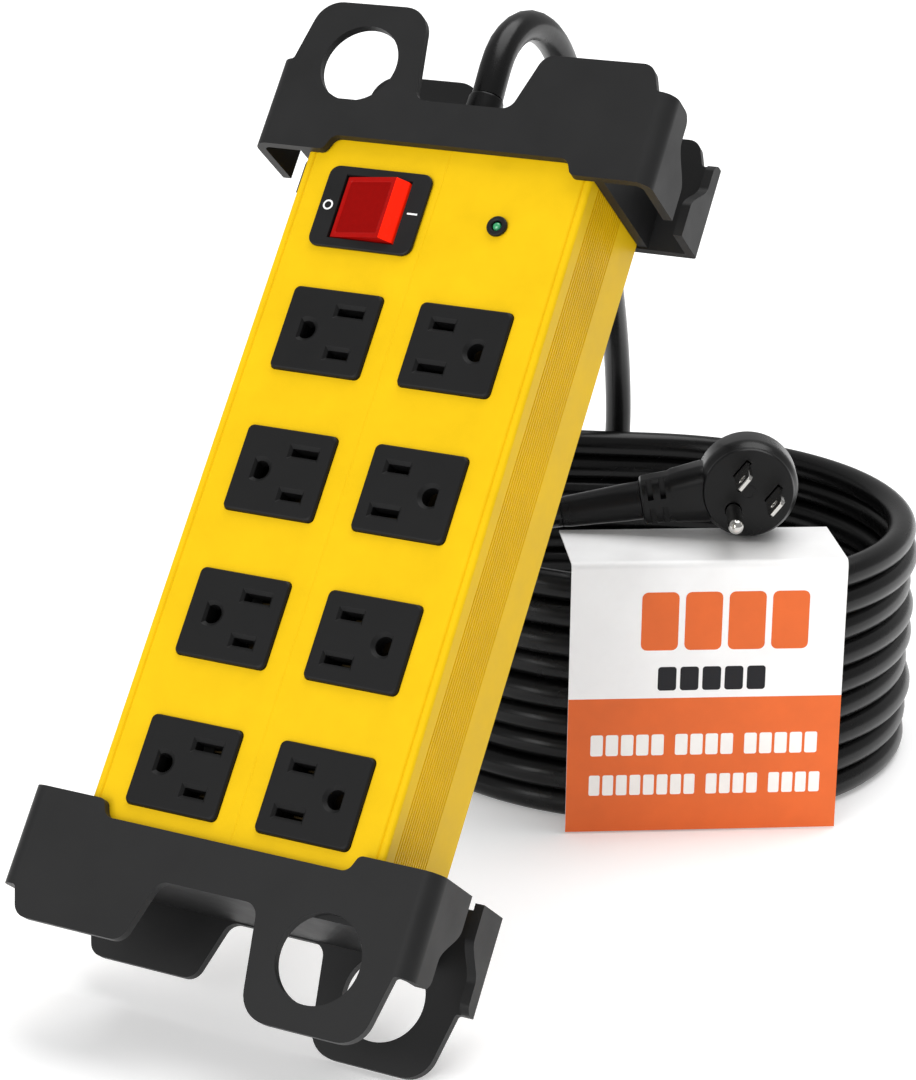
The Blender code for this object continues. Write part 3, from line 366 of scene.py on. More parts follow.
AXES = {
    "x": lambda u, v, w: (w, u, v),     # the outline lies in (y, z)
    "y": lambda u, v, w: (u, w, v),     # in (x, z)
    "z": lambda u, v, w: (u, v, w),     # in (x, y)
}


def stack(levels, axis="z"):
    """A skin over (outline, height) levels along an axis."""
    onto = AXES[axis]
    return loft([[onto(u, v, w) for u, v in outline] for outline, w in levels])


def prism(outline, low, high, axis="z"):
    return stack([(outline, low), (outline, high)], axis)


def block(low, high):
    outline = [(low[0], low[1]), (high[0], low[1]), (high[0], high[1]), (low[0], high[1])]
    return prism(outline, low[2], high[2])


def turned(stations, segments, axis="z", centre=(0, 0)):
    """A turned solid through (radius, height) stations."""
    return stack([(circle(r, segments, centre), w) for r, w in stations], axis)


def ring(profile, segments):
    """A closed (radius, z) profile turned right round z."""
    angles = [2 * pi * k / segments for k in range(segments)]
    return closed_loops([[(r * cos(a), r * sin(a), z) for r, z in profile] for a in angles])


def sleeve(outer, inner, low, high, axis="y"):
    """The space between two outlines of equal count, drawn out along an axis."""
    onto = AXES[axis]
    walls = ((outer, low), (outer, high), (inner, high), (inner, low))
    return closed_loops([[onto(u, v, w) for u, v in outline] for outline, w in walls])


def closed_loops(rows):
    """A skin over rows of points, each joined to the next and the last to the first."""
    shape = bmesh.new()
    loops = [[shape.verts.new(point) for point in row] for row in rows]
    for k, loop in enumerate(loops):
        for i in range(len(loop)):
            shape.faces.new((loops[k - 1][i - 1], loops[k - 1][i], loop[i], loop[i - 1]))
    bmesh.ops.recalc_face_normals(shape, faces=shape.faces)
    return shape


def several(shapes):
    """Shapes that don't touch, as one."""
    whole = bmesh.new()
    for shape in shapes:
        part = mesh_of(shape)
        whole.from_mesh(part)
        bpy.data.meshes.remove(part)
    return whole


def mesh_of(shape):
    mesh = bpy.data.meshes.new("shape")
    shape.to_mesh(mesh)
    shape.free()
    return mesh


def carved(base, *steps):
    """The base with each (operation, shape) step applied by a Boolean, as one mesh."""
    body = bpy.data.objects.new("body", mesh_of(base))
    bpy.context.scene.collection.objects.link(body)
    tools = []
    for operation, shape in steps:
        tool = bpy.data.objects.new("tool", mesh_of(shape))
        bpy.context.scene.collection.objects.link(tool)
        tools.append(tool)
        modifier = body.modifiers.new(operation, "BOOLEAN")
        modifier.operation = operation
        modifier.solver = "EXACT"
        modifier.object = tool
    bpy.context.view_layer.update()
    graph = bpy.context.evaluated_depsgraph_get()
    mesh = bpy.data.meshes.new_from_object(body.evaluated_get(graph))
    for thing in [body, *tools]:
        old = thing.data
        bpy.data.objects.remove(thing)
        bpy.data.meshes.remove(old)
    return mesh


def cleaned(mesh):
    """The mesh without the short edges that Booleans leave."""
    shape = bmesh.new()
    shape.from_mesh(mesh)
    bmesh.ops.remove_doubles(shape, verts=shape.verts, dist=0.00002)
    bmesh.ops.dissolve_limit(
        shape, angle_limit=radians(0.5), verts=shape.verts, edges=shape.edges
    )
    shape.to_mesh(mesh)
    shape.free()
    return mesh


def as_object(name, shape, material, matrix=None, sharp=32):
    """An object from a bmesh or a mesh, with its place in its vertices. sharp is in degrees."""
    mesh = shape if isinstance(shape, bpy.types.Mesh) else mesh_of(shape)
    mesh.materials.clear()
    mesh.materials.append(bpy.data.materials[material])
    if matrix is not None:
        mesh.transform(matrix)
    mesh.shade_smooth()
    mesh.set_sharp_from_angle(angle=radians(sharp))
    thing = bpy.data.objects.new(name, mesh)
    bpy.context.scene.collection.objects.link(thing)
    return thing


def fitted(thing, *nodes, body="strip"):
    """The piece stands for those CAD nodes and rides on their body."""
    if nodes:
        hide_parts(*nodes)
    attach(thing, body)
    if thing.type == "MESH":
        flats = thing.modifiers.new("flat faces", "WEIGHTED_NORMAL")
        flats.keep_sharp = True
    return thing


def soften(thing, width, segments=2, angle=radians(40)):
    """A bevel on the sharp edges."""
    bevel = thing.modifiers.new("edges", "BEVEL")
    bevel.width = width
    bevel.segments = segments
    bevel.limit_method = "ANGLE"
    bevel.angle_limit = angle
    bevel.harden_normals = True
    return thing


# ---------------------------------------------------------------- cord


def coil_point(degrees):
    """A point on the coil, counted from its first turn's start, each turn flat but for a climb."""
    turn, along = divmod(degrees - COIL_START, 360)
    climb = min(max((along - CLIMB_FROM) / CLIMB_OVER, 0), 1)
    height = CORD * (0.5 + turn + climb * climb * (3 - 2 * climb))
    a = radians(degrees)
    wander = 0.0007 * sin(a * 0.63 + 1.1) + 0.0005 * sin(a * 1.37)
    fade = min(1, (degrees - COIL_START) / 90, (COIL_TURNS * 360 + COIL_START - degrees) / 90)
    radius = COIL_RADIUS + wander * fade
    return COIL + Vector((radius * cos(a), radius * sin(a), height))


def lead_points():
    """Out of the gland, over and down behind the strip, to the coil's far side."""
    exit_point = STRIP @ Vector((GLAND_X, GLAND_TIP_E + GAP, GLAND_Z))
    outward = Vector((0, sin(LEAN), cos(LEAN)))
    points = [
        exit_point, exit_point + outward * 0.007, (-0.0068, 0.0880, 0.2455),
        (-0.0072, 0.1070, 0.2510), (-0.0085, 0.1300, 0.2420), (-0.0135, 0.1560, 0.2200),
        (-0.0218, 0.1870, 0.1930), (-0.0320, 0.2220, 0.1650), (-0.0420, 0.2550, 0.1320),
        (-0.0500, 0.2800, 0.1000), (-0.0545, 0.2920, 0.0700), (-0.0600, 0.2950, 0.0430),
        (-0.0720, 0.2880, 0.0200), (-0.0880, 0.2680, 0.0075), (-0.0970, 0.2400, 0.0047),
        (-0.0975, 0.2100, CORD / 2), (-0.0932, 0.1840, CORD / 2),
    ]
    for degrees, radius in ((193, 0.0912), (199, 0.0870)):
        a = radians(degrees)
        points.append(COIL + Vector((radius * cos(a), radius * sin(a), CORD / 2)))
    return [Vector(p) for p in points]


def tail_points():
    """From the coil's top to the plug."""
    points = []
    for degrees in (215, 225):
        a = radians(degrees)
        rise = CORD * (COIL_TURNS + 0.5) + GAP
        points.append(COIL + Vector((COIL_RADIUS * cos(a), COIL_RADIUS * sin(a), rise)))
    points += [(-0.0460, 0.1225, 0.0866), (-0.0320, 0.1180, 0.0885), (-0.0190, 0.1200, 0.0913)]
    points.append(PLUG @ Vector((-RELIEF_END - 0.007, 0, PLUG_MIDDLE)))
    points.append(PLUG @ Vector((-RELIEF_END - GAP, 0, PLUG_MIDDLE)))
    return [Vector(p) for p in points]


def smooth_path(points, spacing):
    """Evenly spaced points on a smooth curve through the given ones."""
    ends = [2 * points[0] - points[1], *points, 2 * points[-1] - points[-2]]
    dense = []
    for p0, p1, p2, p3 in zip(ends, ends[1:], ends[2:], ends[3:]):
        for k in range(12):
            t = k / 12
            dense.append(
                0.5 * (2 * p1 + (p2 - p0) * t + (2 * p0 - 5 * p1 + 4 * p2 - p3) * t * t
                       + (3 * p1 - p0 - 3 * p2 + p3) * t ** 3)
            )
    dense.append(points[-1])
    travelled = [0.0]
    for a, b in zip(dense, dense[1:]):
        travelled.append(travelled[-1] + (b - a).length)
    count = ceil(travelled[-1] / spacing)
    path = []
    k = 0
    for i in range(count + 1):
        goal = travelled[-1] * i / count
        while k < len(dense) - 2 and travelled[k + 1] < goal:
            k += 1
        share = (goal - travelled[k]) / (travelled[k + 1] - travelled[k])
        path.append(dense[k].lerp(dense[k + 1], share))
    return path


def eased(path, rounds):
    """The path with its bends evened out, its ends held."""
    for _ in range(rounds):
        middle = [(a + 2 * b + c) / 4 for a, b, c in zip(path, path[1:], path[2:])]
        path = [path[0], *middle, path[-1]]
    return path


def make_cord(with_pieces):
    """One curve from the gland to the plug, by way of the coil."""
    steps = COIL_TURNS * 360 // COIL_STEP
    turns = [coil_point(COIL_START + COIL_STEP * k) for k in range(steps + 1)]
    guide = smooth_path([*lead_points(), *turns, *tail_points()], ROUTE_SPACING)
    route = eased(guide, ROUTE_EASING)
    curve = bpy.data.curves.new("cord", "CURVE")
    curve.dimensions = "3D"
    curve.bevel_depth = CORD_DRAWN * CORD / 2
    curve.bevel_resolution = 8
    curve.use_fill_caps = True
    spline = curve.splines.new("POLY")
    spline.points.add(len(route) - 1)
    spline.use_smooth = True
    for point, where in zip(spline.points, route):
        point.co = (*where, 1)
    curve.materials.append(bpy.data.materials["cord_jacket"])
    cord = bpy.data.objects.new("cord", curve)
    bpy.context.scene.collection.objects.link(cord)
    fitted(cord, "cord_lead", "cord_coil", "cord_tail")
    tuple(route[0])


# ---------------------------------------------------------------- housing


def housing_section():
    """The extrusion's section as (x, z): right half from the front, then its mirror image."""
    x, inside = BODY_HALF_WIDTH, BODY_HALF_WIDTH - WALL
    corner = 0.0011
    half = [
        (0.00035, 0.0), (FRONT_GROOVE_X - 0.0006, 0.0), (FRONT_GROOVE_X - 0.0003, -0.00012),
        (FRONT_GROOVE_X, -0.0004), (FRONT_GROOVE_X + 0.0003, -0.00012),
        (FRONT_GROOVE_X + 0.0006, 0.0),
    ]
    for k in range(13):
        a = radians(90 - 7.5 * k)
        half.append((x - corner + corner * cos(a), -corner + corner * sin(a)))
    pitch = (RIB_BOTTOM - RIB_TOP) / RIB_COUNT
    for rib in range(RIB_COUNT):
        top = -RIB_TOP - rib * pitch
        half += [(x, top), (x - RIB_DEPTH, top - 0.15 * pitch)]
        half += [(x - RIB_DEPTH, top - 0.35 * pitch), (x, top - 0.5 * pitch)]
    half += [(x, -RIB_BOTTOM), (x, -BODY_DEPTH + 0.0004), (x - 0.0004, -BODY_DEPTH)]
    half += [(inside, -BODY_DEPTH), (inside, -WALL)]
    return [*half, *[(-a, b) for a, b in reversed(half)], (0, -0.00012)]


def row_y(row):
    return COLUMN_Y + ROW_PITCH * ((ROWS - 1) / 2 - row)


def outlet_places():
    """(number, x, y, turn) of each outlet: the left column, then the right one, turned round."""
    number = 0
    for x, turn in ((-COLUMN_X, 0), (COLUMN_X, pi)):
        for row in range(ROWS):
            number += 1
            yield number, x, row_y(row), turn


def make_housing():
    windows = []
    for _, x, y, _ in outlet_places():
        size = (OUTLET_WIDTH + GAP, OUTLET_HEIGHT + GAP)
        windows.append(prism(rectangle(*size, OUTLET_CORNER, 5, (x, y)), *WINDOW_CUT))
    size = (SWITCH_WIDTH + GAP, SWITCH_HEIGHT + GAP)
    windows.append(prism(rectangle(*size, SWITCH_CORNER, 3, SWITCH), *WINDOW_CUT))
    windows.append(prism(circle(LED_WINDOW, 32, LED), *WINDOW_CUT))
    body = prism(housing_section(), -BODY_HALF_LENGTH, BODY_HALF_LENGTH, "y")
    mesh = carved(body, ("DIFFERENCE", several(windows)))
    fitted(as_object("housing_visual", mesh, "housing_paint", STRIP, sharp=10), "housing")


# ---------------------------------------------------------------- brackets


def bracket_outline():
    """The front and back plates' outline as (x, e), its ring at -x and its wing at +x."""
    w = BRACKET_HALF_WIDTH + 0.002
    return rounded([
        (w, TAB_E, 0), (w, FLANGE_END_E, 0), (0.0566, FLANGE_END_E, 0.001),
        (0.0535, WING_END_E, 0.0045), (0.0205, WING_END_E, 0.0045), (0.0150, NOTCH_E, 0.0040),
        (-0.0148, NOTCH_E, 0.0040), (-0.0196, RING_END_E, 0.0085),
        (-0.0536, RING_END_E, 0.0080), (-0.0575, FLANGE_END_E, 0.001),
        (-w, FLANGE_END_E, 0), (-w, TAB_E, 0), (-TAB_X, TAB_E, 0.002),
        (-RECESS_X, RECESS_E, 0.003), (RECESS_X, RECESS_E, 0.003), (TAB_X, TAB_E, 0.002),
    ], 8)


def flange_slit():
    """The gap between the front and back flanges as (e, z), widening in an S outwards."""
    front_low, front_high = -0.0194, -0.0105
    back_high, back_low = -0.0285, -0.0370
    start, s_start, s_end, end = TAB_E - 0.001, 0.1065, 0.1170, FLANGE_END_E + 0.001
    steps = 14

    def bend(z_from, z_to):
        for k in range(steps + 1):
            t = k / steps
            yield (s_start + (s_end - s_start) * t, z_from + (z_to - z_from) * t * t * (3 - 2 * t))

    def corner(z, towards):
        radius = 0.0035
        for k in range(1, 9):
            angle = pi / 2 * k / 8
            yield (FLANGE_END_E - radius + radius * sin(angle),
                   z + towards * radius * (1 - cos(angle)))

    front = [(start, front_low), *bend(front_low, front_high), *corner(front_high, 1)]
    back = [(start, back_high), *bend(back_high, back_low), *corner(back_low, -1)]
    return [*front, (end, front[-1][1]), (end, back[-1][1]), *reversed(back)]


def bracket_section(inset):
    """The bracket's boxed section as (x, z), its front bends wide and its back ones tight."""
    x, front, back = BRACKET_HALF_WIDTH - inset, BRACKET_FRONT - inset, BRACKET_BACK + inset
    wide, tight = FRONT_BEND - inset, max(BACK_BEND - inset, 0.0004)
    return rounded([(-x, back, tight), (x, back, tight), (x, front, wide), (-x, front, wide)], 10)


def bracket_mesh(holes):
    """A bracket from a boxed section, trimmed to its outline, with the socket for the housing."""
    shell = sleeve(bracket_section(0), bracket_section(BRACKET_PLATE), TAB_E - 0.002,
                   RING_END_E + 0.002)
    eye = circle(RING_HOLE_RADIUS, 72, RING_HOLE)
    eyes = [
        prism(eye, GAP, BRACKET_FRONT + 0.001),
        prism(eye, BRACKET_BACK - 0.001, -BODY_DEPTH - GAP),
    ]
    inside, outside = BODY_HALF_WIDTH + GAP, BODY_HALF_WIDTH + 0.0032
    start, end = TAB_E + 0.0005, END_WALL_E + END_WALL
    socket = [(-outside, start), (-inside, start), (-inside, END_WALL_E), (inside, END_WALL_E),
              (inside, start), (outside, start), (outside, end), (-outside, end)]
    into = BRACKET_PLATE / 2
    return carved(
        shell,
        ("INTERSECT", prism(bracket_outline(), BRACKET_BACK - 0.01, 0.01)),
        ("DIFFERENCE", prism(flange_slit(), -0.1, 0.1, "x")),
        ("UNION", prism(socket, BRACKET_BACK + into, BRACKET_FRONT - into)),
        ("DIFFERENCE", several([*eyes, *holes])),
    )


def make_brackets():
    def screw_holes():
        bores = [circle(BOSS_BORE, 24, (x, BOSS_Z)) for x in (-BOSS_X, BOSS_X)]
        return [prism(bore, *END_WALL_CUT, "y") for bore in bores]

    cord_hole = prism(circle(CORD_HOLE, 32, (GLAND_X, GLAND_Z)), *END_WALL_CUT, "y")
    meshes = {
        "bracket_top": (bracket_mesh([*screw_holes(), cord_hole]), STRIP),
        "bracket_bottom": (bracket_mesh(screw_holes()), STRIP @ Matrix.Rotation(pi, 4, "Z")),
    }
    for name, (mesh, matrix) in meshes.items():
        thing = as_object(f"{name}_visual", cleaned(mesh), "bracket_plastic", matrix)
        fitted(soften(thing, BRACKET_EDGE), name)


def make_screws():
    """Two pan-head screws with cross recesses in each end wall."""
    head_e = END_WALL_E + END_WALL + GAP
    shank = BOSS_BORE - GAP
    arm, half = 0.0019, 0.0004
    low, high = head_e + 0.0008, head_e + 0.003
    for end, turn in (("top", 0), ("bottom", pi)):
        for side, x in (("left", -BOSS_X), ("right", BOSS_X)):
            base = turned([
                (shank * 0.6, head_e - 0.0150), (shank, head_e - 0.0135), (shank, head_e),
                (0.0035, head_e), (0.0035, head_e + 0.0008), (0.0031, head_e + 0.0016),
                (0.0020, head_e + 0.0021), (0.0008, head_e + 0.0022),
            ], 32, "y")
            cross = [
                block((-arm, low, -half), (arm, high, half)),
                block((-half, low, -arm), (half, high, arm)),
            ]
            steps = [("DIFFERENCE", bar) for bar in cross]
            place = STRIP @ Matrix.Translation((x, 0, BOSS_Z)) @ Matrix.Rotation(turn, 4, "Z")
            name = f"end_screw_{end}_{side}"
            thing = as_object(f"{name}_visual", carved(base, *steps), "zinc_steel", place)
            fitted(thing, name)


# ---------------------------------------------------------------- outlets


def ground_outline(radius, grow=0.0):
    """A D with its flat side towards -x."""
    angles = [radians(-125 + 12.5 * k) for k in range(21)]
    points = [((radius + grow) * cos(a), (radius + grow) * sin(a)) for a in angles]
    return [(GROUND_X + u, v) for u, v in points]


def funnel(narrow, wide):
    """A hole that narrows from its mouth to its throat."""
    return stack([
        (wide, OUTLET_RAISE + 0.0006), (wide, OUTLET_RAISE), (narrow, OUTLET_RAISE - FUNNEL_DEPTH),
        (narrow, -0.0070),
    ])


def outlet_mesh():
    """A block with a rounded edge, held by a rim behind the wall, and its three holes."""
    bottom = -WALL - GAP
    levels = []
    for k in range(5):
        a = radians(22.5 * k)
        inset = OUTLET_EDGE * (1 - sin(a))
        rise = OUTLET_RAISE - OUTLET_EDGE * (1 - cos(a))
        size = (OUTLET_WIDTH - 2 * inset, OUTLET_HEIGHT - 2 * inset)
        levels.append((rectangle(*size, OUTLET_CORNER), rise))
    side = rectangle(OUTLET_WIDTH, OUTLET_HEIGHT, OUTLET_CORNER)
    rim_size = (OUTLET_WIDTH + 2 * OUTLET_RIM, OUTLET_HEIGHT + 2 * OUTLET_RIM)
    rim = rectangle(*rim_size, OUTLET_CORNER)
    levels += [(side, bottom), (rim, bottom), (rim, bottom - OUTLET_RIM_DEPTH)]
    holes = []
    for length, y in ((NEUTRAL_LENGTH, SLOT_OFFSET), (HOT_LENGTH, -SLOT_OFFSET)):
        narrow = rectangle(length, SLOT_WIDTH, 0.0002, 2, (SLOT_X, y))
        mouth = (length + 2 * FUNNEL_END, SLOT_WIDTH + 2 * FUNNEL_SIDE)
        wide = rectangle(*mouth, 0.0003, 2, (SLOT_X, y))
        holes.append(funnel(narrow, wide))
    ground = [ground_outline(GROUND_RADIUS, grow) for grow in (0, FUNNEL_SIDE)]
    holes.append(funnel(*ground))
    return carved(stack(levels), ("DIFFERENCE", several(holes)))


def make_outlets():
    mesh = outlet_mesh()
    for number, x, y, turn in outlet_places():
        place = STRIP @ Matrix.Translation((x, y, 0)) @ Matrix.Rotation(turn, 4, "Z")
        name = f"outlet_{number}"
        fitted(as_object(f"{name}_visual", mesh.copy(), "outlet_plastic", place), name)
    bpy.data.meshes.remove(mesh)


# ---------------------------------------------------------------- switch and indicator


def rocker_mesh():
    """The rocker level, about its pivot, its face sunk a little inside a border."""
    half = (OPENING_HEIGHT - 2 * GAP) / 2
    start, end = atan2(0.0012, ROCKER_REACH), radians(-27)
    skirt = [start + (end - start) * k / 8 for k in range(9)]
    side = [(ROCKER_REACH * cos(a), ROCKER_REACH * sin(a)) for a in skirt]
    side += [(0.0026, side[-1][1]), (0.0026, -0.0095)]
    face = [(-ROCKER_LEFT, ROCKER_TOP), (ROCKER_RIGHT, ROCKER_TOP)]
    outline = [*side, *[(-x, z) for x, z in reversed(side)], *face]
    width = ROCKER_LEFT + ROCKER_RIGHT - 2 * PANE_INSET
    height = 2 * half - 0.0030
    centre = ((ROCKER_RIGHT - ROCKER_LEFT) / 2, 0)
    low = rectangle(width, height, 0.0004, 3, centre)
    high = rectangle(width + 2 * PANE_SLOPE, height + 2 * PANE_SLOPE, 0.0008, 3, centre)
    pane = stack([(low, ROCKER_TOP - PANE_DEPTH), (high, ROCKER_TOP + 0.0002)])
    pins = prism(circle(0.00145, 24), -half - 0.0008, half + 0.0008, "y")
    return carved(prism(outline, -half, half, "y"), ("UNION", pins), ("DIFFERENCE", pane))


def make_switch_body(place):
    """The bezel and its box, hollow for the rocker."""
    levels = []
    for k in range(4):
        a = radians(30 * k)
        inset = BEZEL_EDGE * (1 - sin(a))
        size = (BEZEL_WIDTH - 2 * inset, BEZEL_HEIGHT - 2 * inset)
        levels.append((rectangle(*size, BEZEL_CORNER), BEZEL_TOP - BEZEL_EDGE * (1 - cos(a))))
    rim = rectangle(BEZEL_WIDTH, BEZEL_HEIGHT, BEZEL_CORNER)
    box = rectangle(SWITCH_WIDTH, SWITCH_HEIGHT, SWITCH_CORNER)
    body = stack([*levels, (rim, GAP), (box, GAP), (box, SWITCH_BOTTOM)])
    half_x, half_y = SWITCH_WIDTH / 2 - 0.0015, OPENING_HEIGHT / 2 + 0.0001
    cavity = block((-half_x, -half_y, SWITCH_BOTTOM + 0.002), (half_x, half_y, -0.0010))
    mouth = stack([
        (rectangle(OPENING_WIDTH + 0.0005, OPENING_HEIGHT + 0.0005), BEZEL_TOP + 0.0003),
        (rectangle(OPENING_WIDTH, OPENING_HEIGHT), BEZEL_TOP - BEZEL_EDGE),
        (rectangle(OPENING_WIDTH, OPENING_HEIGHT), -0.004),
    ])
    pivots = prism(circle(0.00165, 24, (0, PIVOT_Z)), -0.02, 0.02, "y")
    mesh = carved(body, ("DIFFERENCE", cavity), ("DIFFERENCE", mouth), ("DIFFERENCE", pivots))
    fitted(as_object("switch_body_visual", mesh, "switch_plastic", place), "switch_body")


def make_rocker():
    """The rocker at its rest tilt, its right end painted brighter and glowing as painted light,
    and a darker pane.
    """
    rocker = as_object("rocker_visual", rocker_mesh(), "rocker_red", ROCKER)
    rocker.data.materials.append(bpy.data.materials["rocker_end_painted_light"])
    rocker.data.materials.append(bpy.data.materials["rocker_pane"])
    across, _, up = ROCKER.to_3x3().col
    for face in rocker.data.polygons:
        from_pivot = face.center - ROCKER.translation
        # the right end's faces take the painted light
        if face.normal.dot(across) > 0.5 and from_pivot.dot(across) > 0.007:
            face.material_index = 1
        elif face.normal.dot(up) > 0.95 and from_pivot.dot(up) < ROCKER_TOP - 0.0002:
            face.material_index = 2
    fitted(soften(rocker, 0.00030, 3), "rocker", body="rocker")


def make_switch_marks(place):
    """Generic marks: a ring for off and a bar for on."""
    low, high = BEZEL_TOP, BEZEL_TOP + MARK_DEPTH
    off = ring([(0.00105, low), (0.00155, low), (0.00155, high), (0.00105, high)], 40)
    bar = prism(rectangle(0.0032, 0.00052, 0.0001, 2), low, high)
    for name, shape, x in (("switch_mark_off", off, -MARK_X), ("switch_mark_on", bar, MARK_X)):
        where = place @ Matrix.Translation((x, 0, 0))
        fitted(as_object(name, shape, "mark_white", where))


def make_switch():
    place = STRIP @ Matrix.Translation((*SWITCH, 0))
    make_switch_body(place)
    make_rocker()
    make_switch_marks(place)


def make_indicator():
    """The green lens in its bezel."""
    place = STRIP @ Matrix.Translation((*LED, 0))
    bezel = ring([
        (0.00150, -0.0060), (0.0023, -0.0060), (0.0023, GAP), (0.00300, GAP), (0.00300, 0.0008),
        (0.00290, 0.0011), (0.00265, 0.0013), (0.0020, 0.0013), (0.0017, 0.0012),
        (0.00150, 0.0009),
    ], 48)
    fitted(as_object("indicator_bezel_visual", bezel, "switch_plastic", place), "indicator_bezel")
    angles = [radians(a) for a in range(0, 90, 11)]
    dome = [(0.00125 * cos(a), 0.0004 + 0.0009 * sin(a)) for a in angles]
    lens = turned([(0.00125, -0.0085), *dome], 40)
    fitted(as_object("indicator_lens_visual", lens, "lens_green", place), "indicator_lens")


# ---------------------------------------------------------------- gland, plug and card


def make_gland():
    wall_out = END_WALL_E + END_WALL + GAP
    gland = turned([
        (0.0085, 0.1085), (0.0085, END_WALL_E - GAP), (0.0067, END_WALL_E - GAP),
        (0.0067, wall_out), (0.0084, wall_out), (0.0084, wall_out + 0.0014),
        (0.0078, wall_out + 0.0020), (0.0062, wall_out + 0.0024), (0.0060, wall_out + 0.0040),
        (0.0055, wall_out + 0.0085), (0.0052, GLAND_TIP_E - 0.0006), (0.0049, GLAND_TIP_E),
    ], 40, "y", (GLAND_X, GLAND_Z))
    fitted(as_object("strain_relief_visual", gland, "plug_rubber", STRIP), "strain_relief")


def contact_outlines(grow):
    """The two blades' and the ground pin's outlines on the plug's face, grown by a gap."""
    turn = Matrix.Rotation(BLADE_TURN, 2)
    middle = turn @ Vector((0, PIN_OFFSET / 2 - 0.0015))
    outlines = []
    for side in (-1, 1):
        flat = rectangle(BLADE_THICK + 2 * grow, BLADE_WIDTH + 2 * grow)
        outlines.append([middle + turn @ (p + Vector((side * SLOT_OFFSET, 0))) for p in flat])
    outlines.append(circle(PIN_RADIUS + grow, 32, ground_pin_centre()))
    return outlines


def ground_pin_centre():
    turn = Matrix.Rotation(BLADE_TURN, 2)
    return tuple(turn @ Vector((0, -PIN_OFFSET / 2 - 0.0015)))


def neck_grooves():
    """Two rows of slots, each row cut into the neck's four corners."""
    half, deep, y_from, z_from = 0.0009, 0.0085, 0.0014, 0.0036
    for x in (-0.0265, -0.0305):
        for side in (-1, 1):
            low, high = sorted((side * y_from, side * deep))
            for facing in (-1, 1):
                near, far = sorted((PLUG_MIDDLE + facing * z_from, PLUG_MIDDLE + facing * deep))
                yield block((x - half, low, near), (x + half, high, far))


def make_plug_body():
    """A turned head and a neck towards the lead, with pockets for the contacts."""
    head = turned([
        (PLUG_RADIUS - 0.0050, -PLUG_DEPTH), (PLUG_RADIUS - 0.0020, -PLUG_DEPTH + 0.0006),
        (PLUG_RADIUS - 0.0006, -PLUG_DEPTH + 0.0020), (PLUG_RADIUS, -PLUG_DEPTH + 0.0042),
        (PLUG_RADIUS, -0.0060), (PLUG_RADIUS - 0.0002, -0.0045), (PLUG_RADIUS - 0.0007, -0.0030),
        (PLUG_RADIUS - 0.0014, -0.0018), (PLUG_FACE_RADIUS + 0.0002, -0.0009),
        (PLUG_FACE_RADIUS + 0.0001, -0.0004), (PLUG_FACE_RADIUS - 0.0002, 0.0),
        (PLUG_FACE_RADIUS - 0.0008, 0.0),
    ], 72)
    sections = [
        (0.0185, 0.0160, 0.0055, -0.0060), (0.0185, 0.0160, 0.0055, -0.0140),
        (0.0160, 0.0150, 0.0050, -0.0235), (0.0152, 0.0142, 0.0048, -0.0242),
        (0.0145, 0.0135, 0.0045, -NECK_END + 0.0006), (0.0135, 0.0125, 0.0042, -NECK_END),
    ]
    neck = stack([
        (rectangle(width, height, corner, 8, (0, PLUG_MIDDLE)), x)
        for width, height, corner, x in sections
    ], "x")
    pockets = [prism(outline, -PLUG_POCKET, 0.002) for outline in contact_outlines(GAP)]
    boss = ring([(0.0016, -0.0004), (0.0024, -0.0004), (0.0024, 0.0002), (0.0016, 0.0002)], 40)
    body = carved(
        head, ("UNION", neck), ("DIFFERENCE", several([*pockets, *neck_grooves()])),
        ("UNION", boss),
    )
    return fitted(as_object("plug_body_visual", body, "plug_rubber", PLUG), "plug_body")


def make_plug_relief():
    collar = NECK_END + GAP
    relief = turned([
        (0.0061, -collar), (0.0060, -collar - 0.0050), (0.0054, -collar - 0.0150),
        (0.0050, -RELIEF_END + 0.0020), (0.0047, -RELIEF_END),
    ], 40, "x", (0, PLUG_MIDDLE))
    thing = as_object("plug_strain_relief_visual", relief, "plug_rubber", PLUG)
    return fitted(thing, "plug_strain_relief")


def make_blade(side, outline):
    """A flat blade with a tapered tip and a round hole through it."""
    taper, hole_radius, hole_from_tip = 0.0016, 0.0015, 0.0045
    centre = sum(outline, Vector((0, 0))) / 4
    tip = [centre + (p - centre) * 0.72 for p in outline]
    blade = stack([
        (outline, GAP - PLUG_POCKET), (outline, BLADE_LENGTH - taper), (tip, BLADE_LENGTH),
    ])
    across = (outline[1] - outline[0]).normalized()
    hole = prism(circle(hole_radius, 24), -0.003, 0.003)
    swing = Matrix.Rotation(pi / 2, 4, "Y")
    spin = Matrix.Rotation(atan2(across.y, across.x), 4, "Z")
    where = Matrix.Translation((*centre, BLADE_LENGTH - hole_from_tip))
    bmesh.ops.transform(hole, matrix=where @ spin @ swing, verts=hole.verts)
    mesh = carved(blade, ("DIFFERENCE", hole))
    thing = as_object(f"plug_blade_{side}_visual", mesh, "nickel", PLUG)
    return fitted(soften(thing, 0.00015), f"plug_blade_{side}")


def make_ground_pin():
    """A round pin with a domed end."""
    shoulder = PIN_LENGTH - PIN_RADIUS
    stations = [(PIN_RADIUS, GAP - PLUG_POCKET), (PIN_RADIUS, shoulder)]
    for degrees in (20, 40, 60, 75, 87):
        a = radians(degrees)
        stations.append((PIN_RADIUS * cos(a), PIN_LENGTH - PIN_RADIUS * (1 - sin(a))))
    pin = turned(stations, 32, "z", ground_pin_centre())
    thing = as_object("plug_ground_pin_visual", pin, "nickel", PLUG)
    return fitted(thing, "plug_ground_pin")


def make_plug():
    left, right, _ = contact_outlines(0)
    return [
        make_plug_body(), make_plug_relief(), make_blade("left", left),
        make_blade("right", right), make_ground_pin(),
    ]


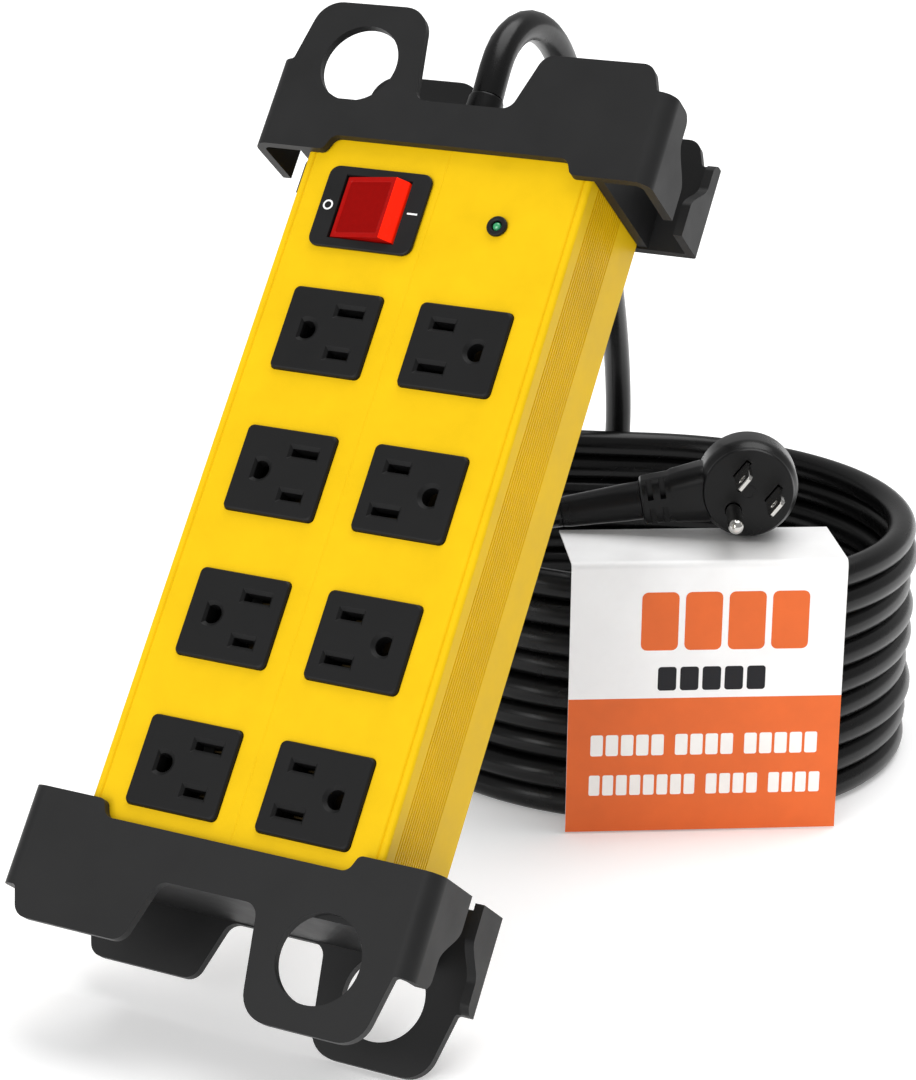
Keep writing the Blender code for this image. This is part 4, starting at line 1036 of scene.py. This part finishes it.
def make_card():
    """One panel down the coil's near side, one across its top, and a narrower flap inside it."""
    front, back, top = -CARD_FRONT, -CARD_BACK, CARD_TOP
    foot, fold = 0.0004, 0.0022
    place = Matrix.Translation(COIL) @ Matrix.Rotation(CARD_TURN, 4, "Z")
    section = rounded([
        (front, foot, 0), (front, CARD_SPLIT, 0), (front, top, fold), (back, top, 0),
        (back, top - CARD, 0), (front + CARD, top - CARD, fold - CARD),
        (front + CARD, CARD_SPLIT, 0), (front + CARD, foot, 0),
    ], 8)
    inner = back - GAP
    flap = block(
        (CARD_LEFT + FLAP_INSET, inner - CARD, FLAP_FOOT),
        (CARD_RIGHT - FLAP_INSET, inner, top - CARD / 2),
    )
    mesh = carved(prism(section, CARD_LEFT, CARD_RIGHT, "x"), ("UNION", flap))
    card = as_object("card_visual", mesh, "card", place)
    card.data.materials.append(bpy.data.materials["card_orange"])
    inward = place.to_3x3().col[1]
    for face in card.data.polygons:
        reach = (face.center - COIL).dot(inward)
        if face.center.z < CARD_SPLIT and reach < front + 0.005:
            face.material_index = 1
    fitted(card, "card_band")
    make_print(place)
    return card


def make_print(place):
    """Plain blocks where the card is printed.

    A row is its material, left end and height above the floor, then a block's height, its width,
    the gap to the next, and how many blocks are in each group.
    """
    rows = [
        ("print_orange", -0.0161, 0.0703, 0.0190, 0.0116, 0.0020, (4,)),
        ("print_dark", -0.0104, 0.0514, 0.0078, 0.0058, 0.0012, (5,)),
        ("print_white", -0.0309, 0.0294, 0.0070, 0.0039, 0.0009, (5, 4, 5)),
        ("print_white", -0.0311, 0.0160, 0.0068, 0.0034, 0.0009, (8, 4, 4)),
    ]
    for number, (material, x, z, height, width, gap, groups) in enumerate(rows, 1):
        shapes = []
        for count in groups:
            for _ in range(count):
                outline = rectangle(width, height, width / 6, 4, (x + width / 2, z))
                shapes.append(prism(outline, -CARD_FRONT - PRINT_DEPTH, -CARD_FRONT, "y"))
                x += width + gap
            x += 3 * gap
        fitted(as_object(f"card_print_{number}", several(shapes), material, place))


def paint_nodes():
    """Each CAD node takes its slot's material, for those that nothing stands for."""
    for part in frame["record"]["subparts"]:
        mesh = frame["nodes"][part["node"]].data
        mesh.materials.clear()
        mesh.materials.append(bpy.data.materials[part["material_slot"]])


make_camera()
make_materials()
make_studio()
paint_nodes()
plug_pieces = make_plug()
make_cord([*plug_pieces, make_card()])
make_gland()
make_housing()
make_brackets()
make_screws()
make_outlets()
make_switch()
make_indicator()
